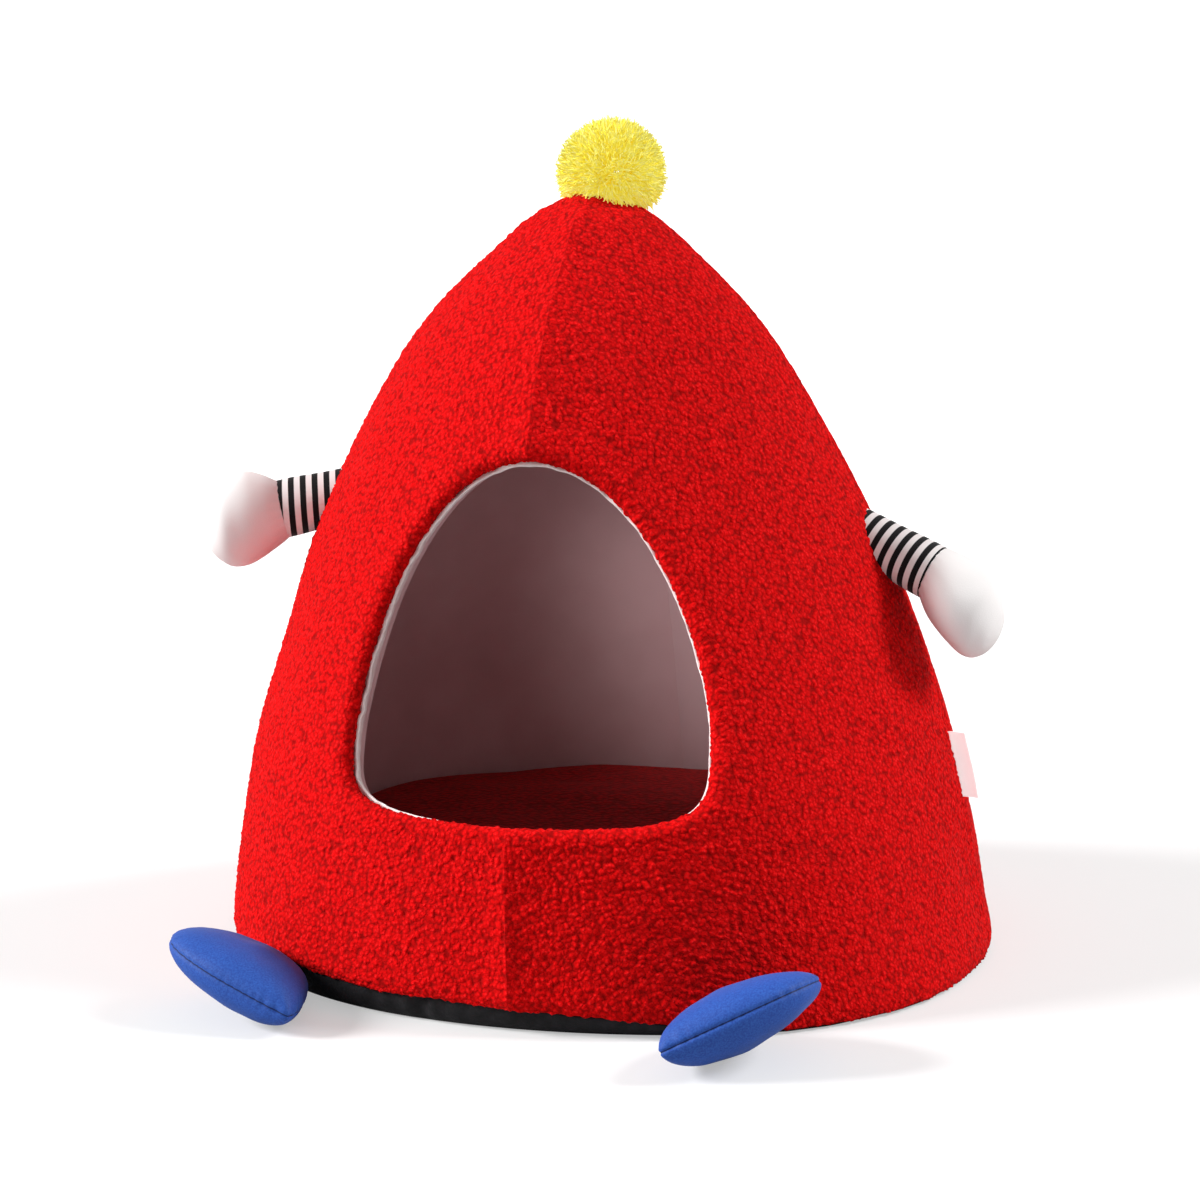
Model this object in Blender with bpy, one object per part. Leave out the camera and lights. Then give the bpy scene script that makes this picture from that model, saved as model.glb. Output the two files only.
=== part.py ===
"""A cone-shaped pet house of padded fleece, with striped arms, blue feet and a yarn pompom.

Metres, +Z up. The origin is on the floor under the middle of the base, and the entrance faces -Y.
An angle round the house starts at the front seam and grows towards +X. A run is the length along
the cover from its top, and a depth is measured inwards from the tips of the pile.
"""

import math

import bmesh
import bpy
import numpy as np
from mathutils.bvhtree import BVHTree

# The padded cover, from the top down. The radius is at the seams, and the drift is the sideways
# lean of the soft house.
PROFILE = (
    # height, radius, drift
    (0.4195, 0.0000, -0.0090),
    (0.4090, 0.0294, -0.0090),
    (0.3865, 0.0578, -0.0090),
    (0.3455, 0.0980, -0.0098),
    (0.2910, 0.1325, -0.0095),
    (0.2331, 0.1613, -0.0075),
    (0.1752, 0.1822, -0.0045),
    (0.1172, 0.1988, -0.0027),
    (0.0634, 0.2077, -0.0003),
    (0.0265, 0.2112, 0.0015),
    (0.0085, 0.2122, 0.0025),
)
CURVE_STEPS = 24
TOP = PROFILE[0][0]
HEM = PROFILE[-1][0]
WALL = 0.017
LINING = 0.002
GAP = 0.0003

# The middle of a panel swells out of the round below, and is drawn in between ridged seams above,
# each as a share of the radius.
LOW_SWELL = 0.04
HIGH_DRAW = 0.16

# The foot of the cover bulges out at the right of the front.
BULGE = 0.035
BULGE_ANGLE = math.radians(70)
BULGE_POWER = 4
BULGE_HEIGHT = 0.05

# The hem rolls in a little and ends level. It is pulled up at the front left, and covers the base
# at the right.
HEM_ROLL = 0.0025
HEM_ROLL_HEIGHT = 0.008
HEM_LEVEL_HEIGHT = 0.02
LIFT_HEIGHT = 0.06
HEM_LIFT = (
    # degrees from the front seam, lift
    (-180, 0.0000),
    (-90, 0.0020),
    (-62, 0.0020),
    (-48, 0.0030),
    (-41, 0.0090),
    (-38, 0.0100),
    (-32, 0.0080),
    (-20, 0.0060),
    (-12, 0.0065),
    (12, 0.0030),
    (38, -0.0065),
    (120, -0.0065),
    (180, 0.0000),
)

# The arched entrance in the front panels, in front elevation.
ENTRANCE_TOP = 0.2855
ENTRANCE_SILL = 0.1055
ENTRANCE_SPRING = 0.1405
ENTRANCE_HALF_WIDTH = 0.0995
ARCH_POWER = 1.6
CORNER_POWER = 4.5
OUTLINE_STEPS = 200
PLACING_ROUNDS = 12

# The grid of the panels.
COLUMNS = 24
SIDE_ROWS = 14
FRONT_ROWS = 8
BACK_COLUMNS = 10
ROW_SPREAD = 1.15
HEM_ROW = 0.017

# Sections of the rolled fleece edge and of the lining's lip.
COVER_EDGE = (
    # distance from the entrance line, depth
    (0.0022, 0.0008),
    (0.0004, 0.0030),
    (0.0000, 0.0058),
    (0.0010, 0.0085),
    (0.0048, 0.0100),
)
COVER_EDGE_START = 0.0060
INNER_EDGE_START = 0.0048
LINING_EDGE = (
    # distance from the entrance line, depth
    (0.0043, 0.0169),
    (0.0042, 0.0104),
    (0.0019, 0.0095),
    (0.0014, 0.0102),
    (0.0016, 0.0180),
)
LINING_INNER_START = 0.0036

BASE_RECESS = 0.002
BASE_CHAMFER = 0.0012
BASE_PAD_TOP = 0.0175
BASE_RING = 0.0200
BASE_SOFT = 0.055
BASE_TURNS = (0, 22, 42, 60, 76, 90)

CUSHION_GAP = 0.0035
CUSHION_FOOT = 0.150
CUSHION_SECTION = (
    # share of the way from the foot's edge out to the wall, height over the pad
    (0.55, 0.0020),
    (0.90, 0.0100),
    (1.00, 0.0200),
    (0.93, 0.0300),
    (0.62, 0.0375),
)
CUSHION_TOP = (
    # share of the foot's radius, height over the pad
    (0.85, 0.0425),
    (0.50, 0.0460),
    (0.00, 0.0475),
)

# Arms: the neck is where a sleeve meets its hand. The sleeve's root stops short of the cover.
ARM_SIDES = 20
ARM_GAP = 0.0010
ARM_STEP = 0.00025
ARM_RINGS = 4
ARM_ROOT_SCALE = 0.93
NECKS = {
    # centre of the neck, direction along the sleeve, wide axis upright or level
    "right": ((0.1855, -0.0100, 0.2143), (0.90, -0.20, -0.39), False),
    "left": ((-0.1885, -0.0160, 0.2375), (-0.93, -0.30, -0.21), True),
}
HAND = (
    # along the sleeve's line, narrow half, wide half, drop at the right, drop at the left
    (0.0000, 0.0152, 0.0165, 0.0000, 0.0000),
    (0.0080, 0.0186, 0.0215, 0.0032, -0.0008),
    (0.0170, 0.0209, 0.0255, 0.0060, -0.0008),
    (0.0255, 0.0215, 0.0265, 0.0089, 0.0008),
    (0.0340, 0.0209, 0.0235, 0.0119, 0.0025),
    (0.0400, 0.0170, 0.0180, 0.0144, 0.0040),
    (0.0445, 0.0100, 0.0110, 0.0155, 0.0050),
)
HAND_TIP = 0.0465

# Feet: filled flat pods of two panels, broader towards the toe, the long seam facing forwards.
FOOT_LENGTH = 0.0981
FOOT_WIDTH = 0.0725
FOOT_THICKNESS = 0.0326
FOOT_TOE_POWER = 1.43
FOOT_HEEL_POWER = 1.35
FOOT_BROADENING = 0.5
FOOT_THINNING = 0.1
FOOT_FULLNESS = 0.85
FOOT_RINGS = 13
FOOT_SIDES = 16
FOOT_PINCH = 0.05
FEET = {
    # degrees of yaw, of toe rise and of roll, distance from the middle
    "left": (44.7, 10.7, -22.1, 0.1385),
    "right": (54.7, 8.0, -30.0, 0.1221),
}
FOOT_START = -0.35
FOOT_FLOOR_GAP = 0.0008
SEAT_GAP = 0.0005
SEAT_NEAR = 0.00005
SEAT_STEP = 0.0001

# The pompom, seated just behind the top.
POMPOM_CENTRE = (-0.0012, 0.0100, 0.4347)
POMPOM_FLATNESS = 0.89
POMPOM_RADIUS = 0.0305
POMPOM_GAP = 0.0012
POMPOM_DIVISIONS = 3
SEAT_TURNS = 73
SEAT_RUNS = 41
SEAT_REACH = 0.08
LOCK_SHRINK = 0.74
LOCK_TIP_SHRINK = 0.66
LOCK_LEAST = 0.003
LOCK_CLEARANCE = 0.0014
LOCK_RAGGED = 0.0022
LOCK_TILT = 0.0007
LOCK_STEP = 0.0004
LOCK_SEED = 4

# The blank tab in the right side seam.
TAB_LOW = 0.0885
TAB_HIGH = 0.1245
TAB_WIDTH = 0.0085
TAB_THICKNESS = 0.001
TAB_ROWS = 6
TAB_COLUMNS = 3
TAB_CURL = 0.0022

WELD = 1e-6
SHARP_DEGREES = 50

# Colours as the photograph shows them, 0 to 255, with roughness.
FINISHES = {
    "red_fleece": ((200, 22, 24), 0.95),
    "pale_lining": ((196, 176, 176), 0.85),
    "black_base": ((22, 21, 23), 0.80),
    "red_plush": ((120, 8, 12), 0.95),
    "striped_knit": ((150, 146, 148), 0.85),
    "white_jersey": ((232, 226, 226), 0.85),
    "blue_cloth": ((42, 78, 168), 0.75),
    "yellow_yarn": ((244, 226, 60), 0.90),
    "white_tab": ((240, 240, 240), 0.70),
}


def clear_scene():
    for item in list(bpy.data.objects):
        bpy.data.objects.remove(item, do_unlink=True)


def linear(channel):
    share = channel / 255
    return share / 12.92 if share <= 0.04045 else ((share + 0.055) / 1.055) ** 2.4


def finish(name):
    """The material of this name, made when it is first asked for."""
    if name in bpy.data.materials:
        return bpy.data.materials[name]
    colour, roughness = FINISHES[name]
    made = bpy.data.materials.new(name)
    made.use_nodes = True
    shader = made.node_tree.nodes["Principled BSDF"]
    shader.inputs["Base Color"].default_value = [*map(linear, colour), 1]
    shader.inputs["Roughness"].default_value = roughness
    shader.inputs["Metallic"].default_value = 0
    return made


def make_object(name, points, faces, finish_name, origin=(0, 0, 0)):
    """One closed body, its faces pointing out, placed at its origin."""
    mesh = bpy.data.meshes.new(name)
    mesh.from_pydata([tuple(np.subtract(point, origin)) for point in points], [], faces)
    shape = bmesh.new()
    shape.from_mesh(mesh)
    bmesh.ops.remove_doubles(shape, verts=shape.verts, dist=WELD)
    bmesh.ops.recalc_face_normals(shape, faces=shape.faces)
    shape.to_mesh(mesh)
    shape.free()
    mesh.shade_smooth()
    mesh.set_sharp_from_angle(angle=math.radians(SHARP_DEGREES))
    mesh.materials.append(finish(finish_name))
    made = bpy.data.objects.new(name, mesh)
    made.location = origin
    bpy.context.collection.objects.link(made)
    return made


def meridian():
    """The cover's outer line from the top down: run, height, radius, drift and the normal's rise."""
    rows = np.array(PROFILE)
    first = rows[1] * (1, -1, 1)
    last = 2 * rows[-1] - rows[-2]
    knots = np.vstack([first, rows, last])
    share = np.linspace(0, 1, CURVE_STEPS, endpoint=False)[:, None]
    pieces = []
    for a, b, c, d in zip(knots, knots[1:], knots[2:], knots[3:]):
        square = (2 * a - 5 * b + 4 * c - d) * share**2
        cube = (3 * b - a - 3 * c + d) * share**3
        pieces.append(0.5 * (2 * b + (c - a) * share + square + cube))
    line = np.vstack([*pieces, rows[-1:]])
    step = np.diff(line[:, :2], axis=0)
    run = np.concatenate([[0], np.cumsum(np.hypot(step[:, 0], step[:, 1]))])
    down = np.gradient(line[:, 0], run)
    out = np.gradient(line[:, 1], run)
    rise = np.maximum(np.arctan2(out, -down), 0)
    rise[0] = math.pi / 2
    rise *= np.clip((line[:, 0] - HEM) / HEM_LEVEL_HEIGHT, 0, 1)
    return {"run": run, "height": line[:, 0], "radius": line[:, 1], "drift": line[:, 2], "rise": rise}


LINE = meridian()
FULL_RUN = LINE["run"][-1]


def at_run(run, column):
    return float(np.interp(run, LINE["run"], LINE[column]))


def at_height(height, column):
    return float(np.interp(-height, -LINE["height"], LINE[column]))


def section(angle, height):
    """The radius at this angle as a share of the radius at the seams."""
    share = height / TOP
    turn = abs(math.sin(2 * angle))
    low = max(0, 1 - (height - HEM) / BULGE_HEIGHT) ** 2
    bulge = BULGE * low * max(0, math.cos(angle - BULGE_ANGLE)) ** BULGE_POWER
    return 1 - HIGH_DRAW * share * turn + LOW_SWELL * (1 - share) * turn**2 + bulge


def hem_lift(angle):
    table = np.array(HEM_LIFT)
    return float(np.interp(math.degrees(angle), table[:, 0], table[:, 1]))


def shell_point(angle, run, depth):
    """A point of the padded wall, its lining or the space just inside it."""
    height = at_run(run, "height")
    rise = at_run(run, "rise")
    rolled = max(0, 1 - (height - HEM) / HEM_ROLL_HEIGHT) ** 2
    radius = at_run(run, "radius") * section(angle, height) - depth * math.cos(rise)
    radius -= HEM_ROLL * rolled * max(0, 1 - depth / WALL)
    lift = hem_lift(angle) * max(0, 1 - (height - HEM) / LIFT_HEIGHT)
    x = radius * math.sin(angle) + at_run(run, "drift")
    return (x, -radius * math.cos(angle), height - depth * math.sin(rise) + lift)


def entrance_line(count):
    """Points and outward directions down the entrance's right half, evenly spaced, in elevation."""
    turn = np.linspace(math.pi / 2, 0, OUTLINE_STEPS)
    arch_height = ENTRANCE_TOP - ENTRANCE_SPRING
    arch = np.stack(
        [np.cos(turn), ENTRANCE_SPRING + arch_height * np.sin(turn) ** (2 / ARCH_POWER)], axis=1
    )
    turn = np.linspace(0, math.pi / 2, OUTLINE_STEPS)[1:]
    corner_height = ENTRANCE_SPRING - ENTRANCE_SILL
    across = np.clip(np.cos(turn), 0, 1) ** (2 / CORNER_POWER)
    corner = np.stack(
        [across, ENTRANCE_SPRING - corner_height * np.sin(turn) ** (2 / CORNER_POWER)], axis=1
    )
    dense = np.vstack([arch, corner]) * (ENTRANCE_HALF_WIDTH, 1)
    length = np.concatenate([[0], np.cumsum(np.linalg.norm(np.diff(dense, axis=0), axis=1))])
    at = np.linspace(0, length[-1], count + 1)
    points = np.stack([np.interp(at, length, dense[:, k]) for k in (0, 1)], axis=1)
    along = np.gradient(points, axis=0)
    out = np.stack([-along[:, 1], along[:, 0]], axis=1)
    out /= np.linalg.norm(out, axis=1)[:, None]
    out[0] = (0, 1)
    out[-1] = (0, -1)
    points[0, 0] = points[-1, 0] = 0
    return points, out


EDGE_POINTS, EDGE_OUT = entrance_line(COLUMNS)


def to_plan(x, height):
    """The unrolled place (across, forwards) of a point of the front, given in elevation."""
    run = at_height(height, "run")
    angle = 0.0
    for _ in range(PLACING_ROUNDS):
        angle = math.asin(x / (at_run(run, "radius") * section(angle, height)))
    return np.array([run * math.sin(angle), run * math.cos(angle)])


def plan_point(place, depth):
    return shell_point(math.atan2(place[0], place[1]), math.hypot(*place), depth)


def edge_place(column, distance):
    return to_plan(*(EDGE_POINTS[column] + EDGE_OUT[column] * distance))


SPREAD_RUN = FULL_RUN - HEM_ROW
SIDE_RUNS = [SPREAD_RUN * (k / (SIDE_ROWS - 1)) ** ROW_SPREAD for k in range(SIDE_ROWS)]
SIDE_RUNS.append(FULL_RUN)
BASE_COLUMNS = COLUMNS - SIDE_ROWS


def boundary_place(column):
    """The outer end of a column: down the side seam from the top, then forwards round the hem."""
    if column <= SIDE_ROWS:
        return np.array([SIDE_RUNS[column], 0.0])
    angle = math.pi / 2 * (COLUMNS - column) / BASE_COLUMNS
    return FULL_RUN * np.array([math.sin(angle), math.cos(angle)])


def front_layer(side, start, depth):
    """Rows of points in each column, from near the entrance out to the panel's far edge."""
    columns = []
    for column in range(COLUMNS + 1):
        near = edge_place(column, start)
        far = boundary_place(column)
        places = [near + (far - near) * row / FRONT_ROWS for row in range(FRONT_ROWS + 1)]
        columns.append([plan_point(place * (side, 1), depth) for place in places])
    return columns


def front_edge(side, table):
    return [
        [plan_point(edge_place(column, far) * (side, 1), depth) for far, depth in table]
        for column in range(COLUMNS + 1)
    ]


def back_layer(side, depth):
    """Columns of points from the side seam round to the back seam, each from the top down."""
    angles = [math.pi / 2 * (1 + k / BACK_COLUMNS) for k in range(BACK_COLUMNS + 1)]
    return [[shell_point(side * angle, run, depth) for run in SIDE_RUNS] for angle in angles]


class Shape:
    """Points and faces under construction."""

    def __init__(self):
        self.points = []
        self.faces = []

    def add(self, rows):
        """Stores a list of lists of points and returns their numbers in the same layout."""
        numbered = []
        for row in rows:
            start = len(self.points)
            self.points.extend(row)
            numbered.append(list(range(start, start + len(row))))
        return numbered

    def strip(self, first, second, closed=False):
        """Triangles between two lines of point numbers."""
        count = len(first) if closed else len(first) - 1
        for k in range(count):
            after = (k + 1) % len(first)
            for face in (
                (first[k], first[after], second[after]),
                (first[k], second[after], second[k]),
            ):
                if len(set(face)) == 3:
                    self.faces.append(face)

    def fan(self, middle, ring):
        number = len(self.points)
        self.points.append(middle)
        for k in range(len(ring)):
            self.faces.append((number, ring[k], ring[(k + 1) % len(ring)]))


def front_panel(name, side):
    shape = Shape()
    outer = shape.add(front_layer(side, COVER_EDGE_START, 0))
    inner = shape.add(front_layer(side, INNER_EDGE_START, WALL))
    edge = shape.add(front_edge(side, COVER_EDGE))
    loops = [o + i[::-1] + e[::-1] for o, i, e in zip(outer, inner, edge)]
    for first, second in zip(loops, loops[1:]):
        shape.strip(first, second, closed=True)
    for column in (0, COLUMNS):
        shape.strip(outer[column], inner[column])
        shape.faces.append([outer[column][0], *edge[column], inner[column][0]])
    half = GAP / 2
    points = np.array(shape.points) + (side * half, -half, 0)
    return make_object(name, points, shape.faces, "red_fleece")


def back_panel(name, side):
    shape = Shape()
    outer = shape.add(back_layer(side, 0))
    inner = shape.add(back_layer(side, WALL))
    for column in outer:
        column[0] = outer[0][0]
    for column in inner:
        column[0] = inner[0][0]
    loops = [o + i[::-1] for o, i in zip(outer, inner)]
    for first, second in zip(loops, loops[1:]):
        shape.strip(first, second, closed=True)
    for column in (0, BACK_COLUMNS):
        shape.strip(outer[column], inner[column])
    half = GAP / 2
    used = np.array(shape.points) + (side * half, half, 0)
    return make_object(name, *only_used(used, shape.faces), "red_fleece")


def only_used(points, faces):
    """The points that some face uses, and the faces numbered for them."""
    kept = sorted({number for face in faces for number in face})
    place = {number: k for k, number in enumerate(kept)}
    return [points[number] for number in kept], [[place[n] for n in face] for face in faces]


def lining():
    """One sheet inside the cover, folded forwards into a lip at the entrance.

    Its columns run upwards, as the cover's inner ones do, so that their triangles lie parallel.
    """
    shape = Shape()
    outside = WALL + GAP
    inside = outside + LINING
    for side in (1, -1):
        outer = shape.add(front_layer(side, INNER_EDGE_START, outside))
        inner = shape.add(front_layer(side, LINING_INNER_START, inside))
        edge = shape.add(front_edge(side, LINING_EDGE))
        for column in range(COLUMNS):
            shape.strip(outer[column][::-1], outer[column + 1][::-1])
            shape.strip(inner[column][::-1], inner[column + 1][::-1])
            lips = [[outer[c][0], *edge[c], inner[c][0]] for c in (column, column + 1)]
            shape.strip(*lips)
        hem = range(SIDE_ROWS, COLUMNS + 1)
        shape.strip([outer[c][-1] for c in hem], [inner[c][-1] for c in hem])
        outer = shape.add(back_layer(side, outside))
        inner = shape.add(back_layer(side, inside))
        for layer in (outer, inner):
            for column in layer:
                column[0] = layer[0][0]
            for first, second in zip(layer, layer[1:]):
                shape.strip(first[::-1], second[::-1])
        shape.strip([column[-1] for column in outer], [column[-1] for column in inner])
    return make_object("lining", *only_used(shape.points, shape.faces), "pale_lining")


def hem_angles():
    """The angles of the hem's points, once round from the front seam."""
    front = [math.pi / 2 * k / BASE_COLUMNS for k in range(BASE_COLUMNS)]
    back = [math.pi / 2 * (1 + k / BACK_COLUMNS) for k in range(BACK_COLUMNS)]
    right = front + back
    left = [-angle for angle in right[1:]]
    return right + [math.pi] + left[::-1]


def wall_point(angle, depth, height):
    """A point of the round at the hem's outline, moved in by depth and set to a height."""
    x, y, _ = shell_point(angle, FULL_RUN, depth)
    return (x, y, height)


def pad_point(angle):
    """A point of the pad's top edge, which keeps clear of the wall round it."""
    run = at_height(BASE_PAD_TOP - hem_lift(angle), "run")
    x, y, _ = shell_point(angle, run, BASE_RING + BASE_CHAMFER)
    return (x, y, BASE_PAD_TOP)


def base():
    """A soft pad under the hem, flat where it lies on the floor, and thicker inside the wall."""
    shape = Shape()
    angles = hem_angles()
    under_hem = [HEM + hem_lift(angle) - GAP for angle in angles]
    rings = []
    for turn in np.radians(BASE_TURNS):
        depth = BASE_RECESS + BASE_SOFT * (1 - math.sin(turn))
        rise = 1 - math.cos(turn)
        rings.append([wall_point(a, depth, top * rise) for a, top in zip(angles, under_hem)])
    rings.append([wall_point(a, BASE_RING, top) for a, top in zip(angles, under_hem)])
    rings.append([pad_point(angle) for angle in angles])
    numbered = shape.add(rings)
    for first, second in zip(numbered, numbered[1:]):
        shape.strip(first, second, closed=True)
    shape.faces.append(numbered[0])
    shape.faces.append(numbered[-1])
    return make_object("base", shape.points, shape.faces, "black_base")


def cushion():
    """A filled round cushion with a crown and drawn-in sides, resting on the base's pad."""
    shape = Shape()
    angles = hem_angles()
    floor = BASE_PAD_TOP + GAP
    rings = [[scaled(wall_point(angle, 0, floor), CUSHION_FOOT) for angle in angles]]
    for share, height in CUSHION_SECTION:
        ring = []
        for angle in angles:
            run = at_height(floor + height, "run")
            far = shell_point(angle, run, WALL + GAP + LINING + CUSHION_GAP)
            near = scaled(wall_point(angle, 0, floor), CUSHION_FOOT)
            place = np.array(near) + (np.array(far) - near) * share
            ring.append((place[0], place[1], floor + height))
        rings.append(ring)
    for share, height in CUSHION_TOP[:-1]:
        radius = CUSHION_FOOT * share
        rings.append([scaled(wall_point(a, 0, floor + height), radius) for a in angles])
    numbered = shape.add(rings)
    for first, second in zip(numbered, numbered[1:]):
        shape.strip(first, second, closed=True)
    shape.faces.append(numbered[0])
    shape.fan((0, 0, floor + CUSHION_TOP[-1][1]), numbered[-1])
    return make_object("cushion", shape.points, shape.faces, "red_plush")


def scaled(point, radius):
    """The point moved in or out until it is this far from the middle."""
    share = radius / math.hypot(point[0], point[1])
    return (point[0] * share, point[1] * share, point[2])


def clearance(point):
    """How far a point is outside the cover, the smaller of its level and its upright distance."""
    x, y, z = point
    height = min(max(z, HEM), TOP)
    x -= at_height(height, "drift")
    angle = math.atan2(x, -y)
    reach = math.hypot(x, y)
    level = reach - at_height(height, "radius") * section(angle, height)
    if z > TOP:
        level = math.inf
    run = float(np.interp(reach / section(angle, height), LINE["radius"], LINE["run"]))
    upright = z - at_run(run, "height")
    if reach > LINE["radius"].max():
        upright = math.inf
    return min(level, upright)


def cover_tree():
    """A search tree of the four panels' surfaces."""
    points = []
    faces = []
    for panel in bpy.data.objects:
        if panel.name.startswith("cover"):
            first = len(points)
            points += [vert.co.copy() for vert in panel.data.vertices]
            faces += [[first + number for number in face.vertices] for face in panel.data.polygons]
    return BVHTree.FromPolygons(points, faces)


def seated(points, faces, tree, direction):
    """The points slid in this direction until their faces are one gap away from the cover."""
    points = np.array(points)
    direction = np.array(direction)
    away = math.inf
    while away > SEAT_NEAR:
        away = min(tree.find_nearest(point)[3] for point in points) - SEAT_GAP
        points = points + direction * away
    crossing = False
    while BVHTree.FromPolygons(points.tolist(), faces).overlap(tree):
        crossing = True
        points = points - direction * SEAT_STEP
    return points - direction * SEAT_GAP if crossing else points


def unit(vector):
    vector = np.array(vector, float)
    return vector / np.linalg.norm(vector)


def limb_frame(side):
    """A neck's centre and its axes: along the sleeve, narrow, wide and up."""
    centre, along, upright = NECKS[side]
    along = unit(along)
    level = unit(np.cross(along, (0, 0, 1)))
    up = np.cross(level, along)
    return np.array(centre), along, (level if upright else up), (up if upright else level), up


def back_to_cover(point, along):
    """The last place before the cover, going back from a point against the sleeve."""
    place = np.array(point, float)
    while clearance(place - along * ARM_STEP) > ARM_GAP:
        place = place - along * ARM_STEP
    return place


def sleeve(side):
    """A filled sleeve from the cover's side seam to the neck, its root shaped to the cover."""
    centre, along, narrow, wide, _ = limb_frame(side)
    shape = Shape()
    turns = [2 * math.pi * k / ARM_SIDES for k in range(ARM_SIDES)]
    around = [
        narrow * HAND[0][1] * math.cos(turn) + wide * HAND[0][2] * math.sin(turn) for turn in turns
    ]
    neck = [centre + offset for offset in around]
    root = [back_to_cover(centre + offset * ARM_ROOT_SCALE, along) for offset in around]
    rings = []
    for k in range(ARM_RINGS + 1):
        share = k / ARM_RINGS
        rings.append([tuple(a + (b - a) * share) for a, b in zip(root, neck)])
    inner_root = [
        tuple(back_to_cover(centre + offset * ARM_ROOT_SCALE / 2, along)) for offset in around
    ]
    numbered = shape.add([inner_root, *rings])
    for first, second in zip(numbered, numbered[1:]):
        shape.strip(first, second, closed=True)
    shape.fan(tuple(back_to_cover(centre, along)), numbered[0])
    shape.faces.append(numbered[-1])
    return make_object("arm_" + side, shape.points, shape.faces, "striped_knit", tuple(centre))


def hand(side):
    """A filled egg that hangs from the sleeve's end."""
    centre, along, narrow, wide, up = limb_frame(side)
    column = 3 if side == "right" else 4
    shape = Shape()
    turns = [2 * math.pi * k / ARM_SIDES for k in range(ARM_SIDES)]
    start = centre + along * GAP
    rings = []
    for row in HAND:
        middle = start + along * row[0] - up * row[column]
        rings.append(
            [
                tuple(middle + narrow * row[1] * math.cos(turn) + wide * row[2] * math.sin(turn))
                for turn in turns
            ]
        )
    numbered = shape.add(rings)
    for first, second in zip(numbered, numbered[1:]):
        shape.strip(first, second, closed=True)
    shape.faces.append(numbered[0])
    shape.fan(tuple(start + along * HAND_TIP - up * HAND[-1][column]), numbered[-1])
    return make_object("hand_" + side, shape.points, shape.faces, "white_jersey", tuple(centre))


def turned(points, axis, degrees):
    """The points turned about an axis through the origin."""
    axis = unit(axis)
    angle = math.radians(degrees)
    along = (points @ axis)[:, None] * axis
    across = np.cross(axis, points)
    return points * math.cos(angle) + across * math.sin(angle) + along * (1 - math.cos(angle))


def pod():
    """A leaf-shaped pod along X, its seam in the level plane, and its rings' numbers."""
    shape = Shape()
    rings = []
    for k in range(1, FOOT_RINGS):
        turn = math.pi * k / FOOT_RINGS
        along = -math.cos(turn)
        power = FOOT_TOE_POWER if along > 0 else FOOT_HEEL_POWER
        girth = (1 - along**2) ** (1 / power)
        half_width = FOOT_WIDTH / 2 * girth * (1 + FOOT_BROADENING * along)
        half_thickness = FOOT_THICKNESS / 2 * girth**FOOT_FULLNESS * (1 - FOOT_THINNING * along)
        ring = []
        for m in range(FOOT_SIDES):
            angle = 2 * math.pi * m / FOOT_SIDES
            seam = FOOT_PINCH if m in (0, FOOT_SIDES // 2) else 0
            across = half_width * math.cos(angle) * (1 - seam)
            thick = half_thickness * math.sin(angle)
            ring.append((FOOT_LENGTH / 2 * along, across, thick))
        rings.append(ring)
    numbered = shape.add(rings)
    for first, second in zip(numbered, numbered[1:]):
        shape.strip(first, second, closed=True)
    shape.fan((-FOOT_LENGTH / 2, 0, 0), numbered[0])
    shape.fan((FOOT_LENGTH / 2, 0, 0), numbered[-1])
    return np.array(shape.points), shape.faces


def foot(side, tree):
    """A pod with its heel on the floor and its toe raised, sewn against the hem."""
    points, faces = pod()
    yaw, rise, roll, out = FEET[side]
    sign = 1 if side == "right" else -1
    points = turned(points, (1, 0, 0), roll)
    points = turned(points, (0, 1, 0), -rise)
    points = turned(points, (0, 0, 1), yaw)
    points = points * (sign, 1, 1)
    points = points + (sign * out, FOOT_START, FOOT_FLOOR_GAP - points[:, 2].min())
    points = seated(points, faces, tree, (0, 1, 0))
    origin = tuple(points.mean(axis=0))
    return make_object("foot_" + side, points, faces, "blue_cloth", origin)


def core_radius():
    """The largest core that its seat on the cover allows."""
    centre = np.array(POMPOM_CENTRE)
    reach = math.inf
    for turn in np.linspace(0, 2 * math.pi, SEAT_TURNS):
        for run in np.linspace(0, SEAT_REACH, SEAT_RUNS):
            away = np.linalg.norm(np.array(shell_point(turn, run, 0)) - centre)
            reach = min(reach, away)
    return reach - POMPOM_GAP


def lock_length(direction, core, wish):
    """How long a lock can be in this direction before it comes too near the cover."""
    centre = np.array(POMPOM_CENTRE)
    length = core
    while length < wish and clearance(centre + direction * (length + LOCK_STEP)) > LOCK_CLEARANCE:
        length += LOCK_STEP
    return length


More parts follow.
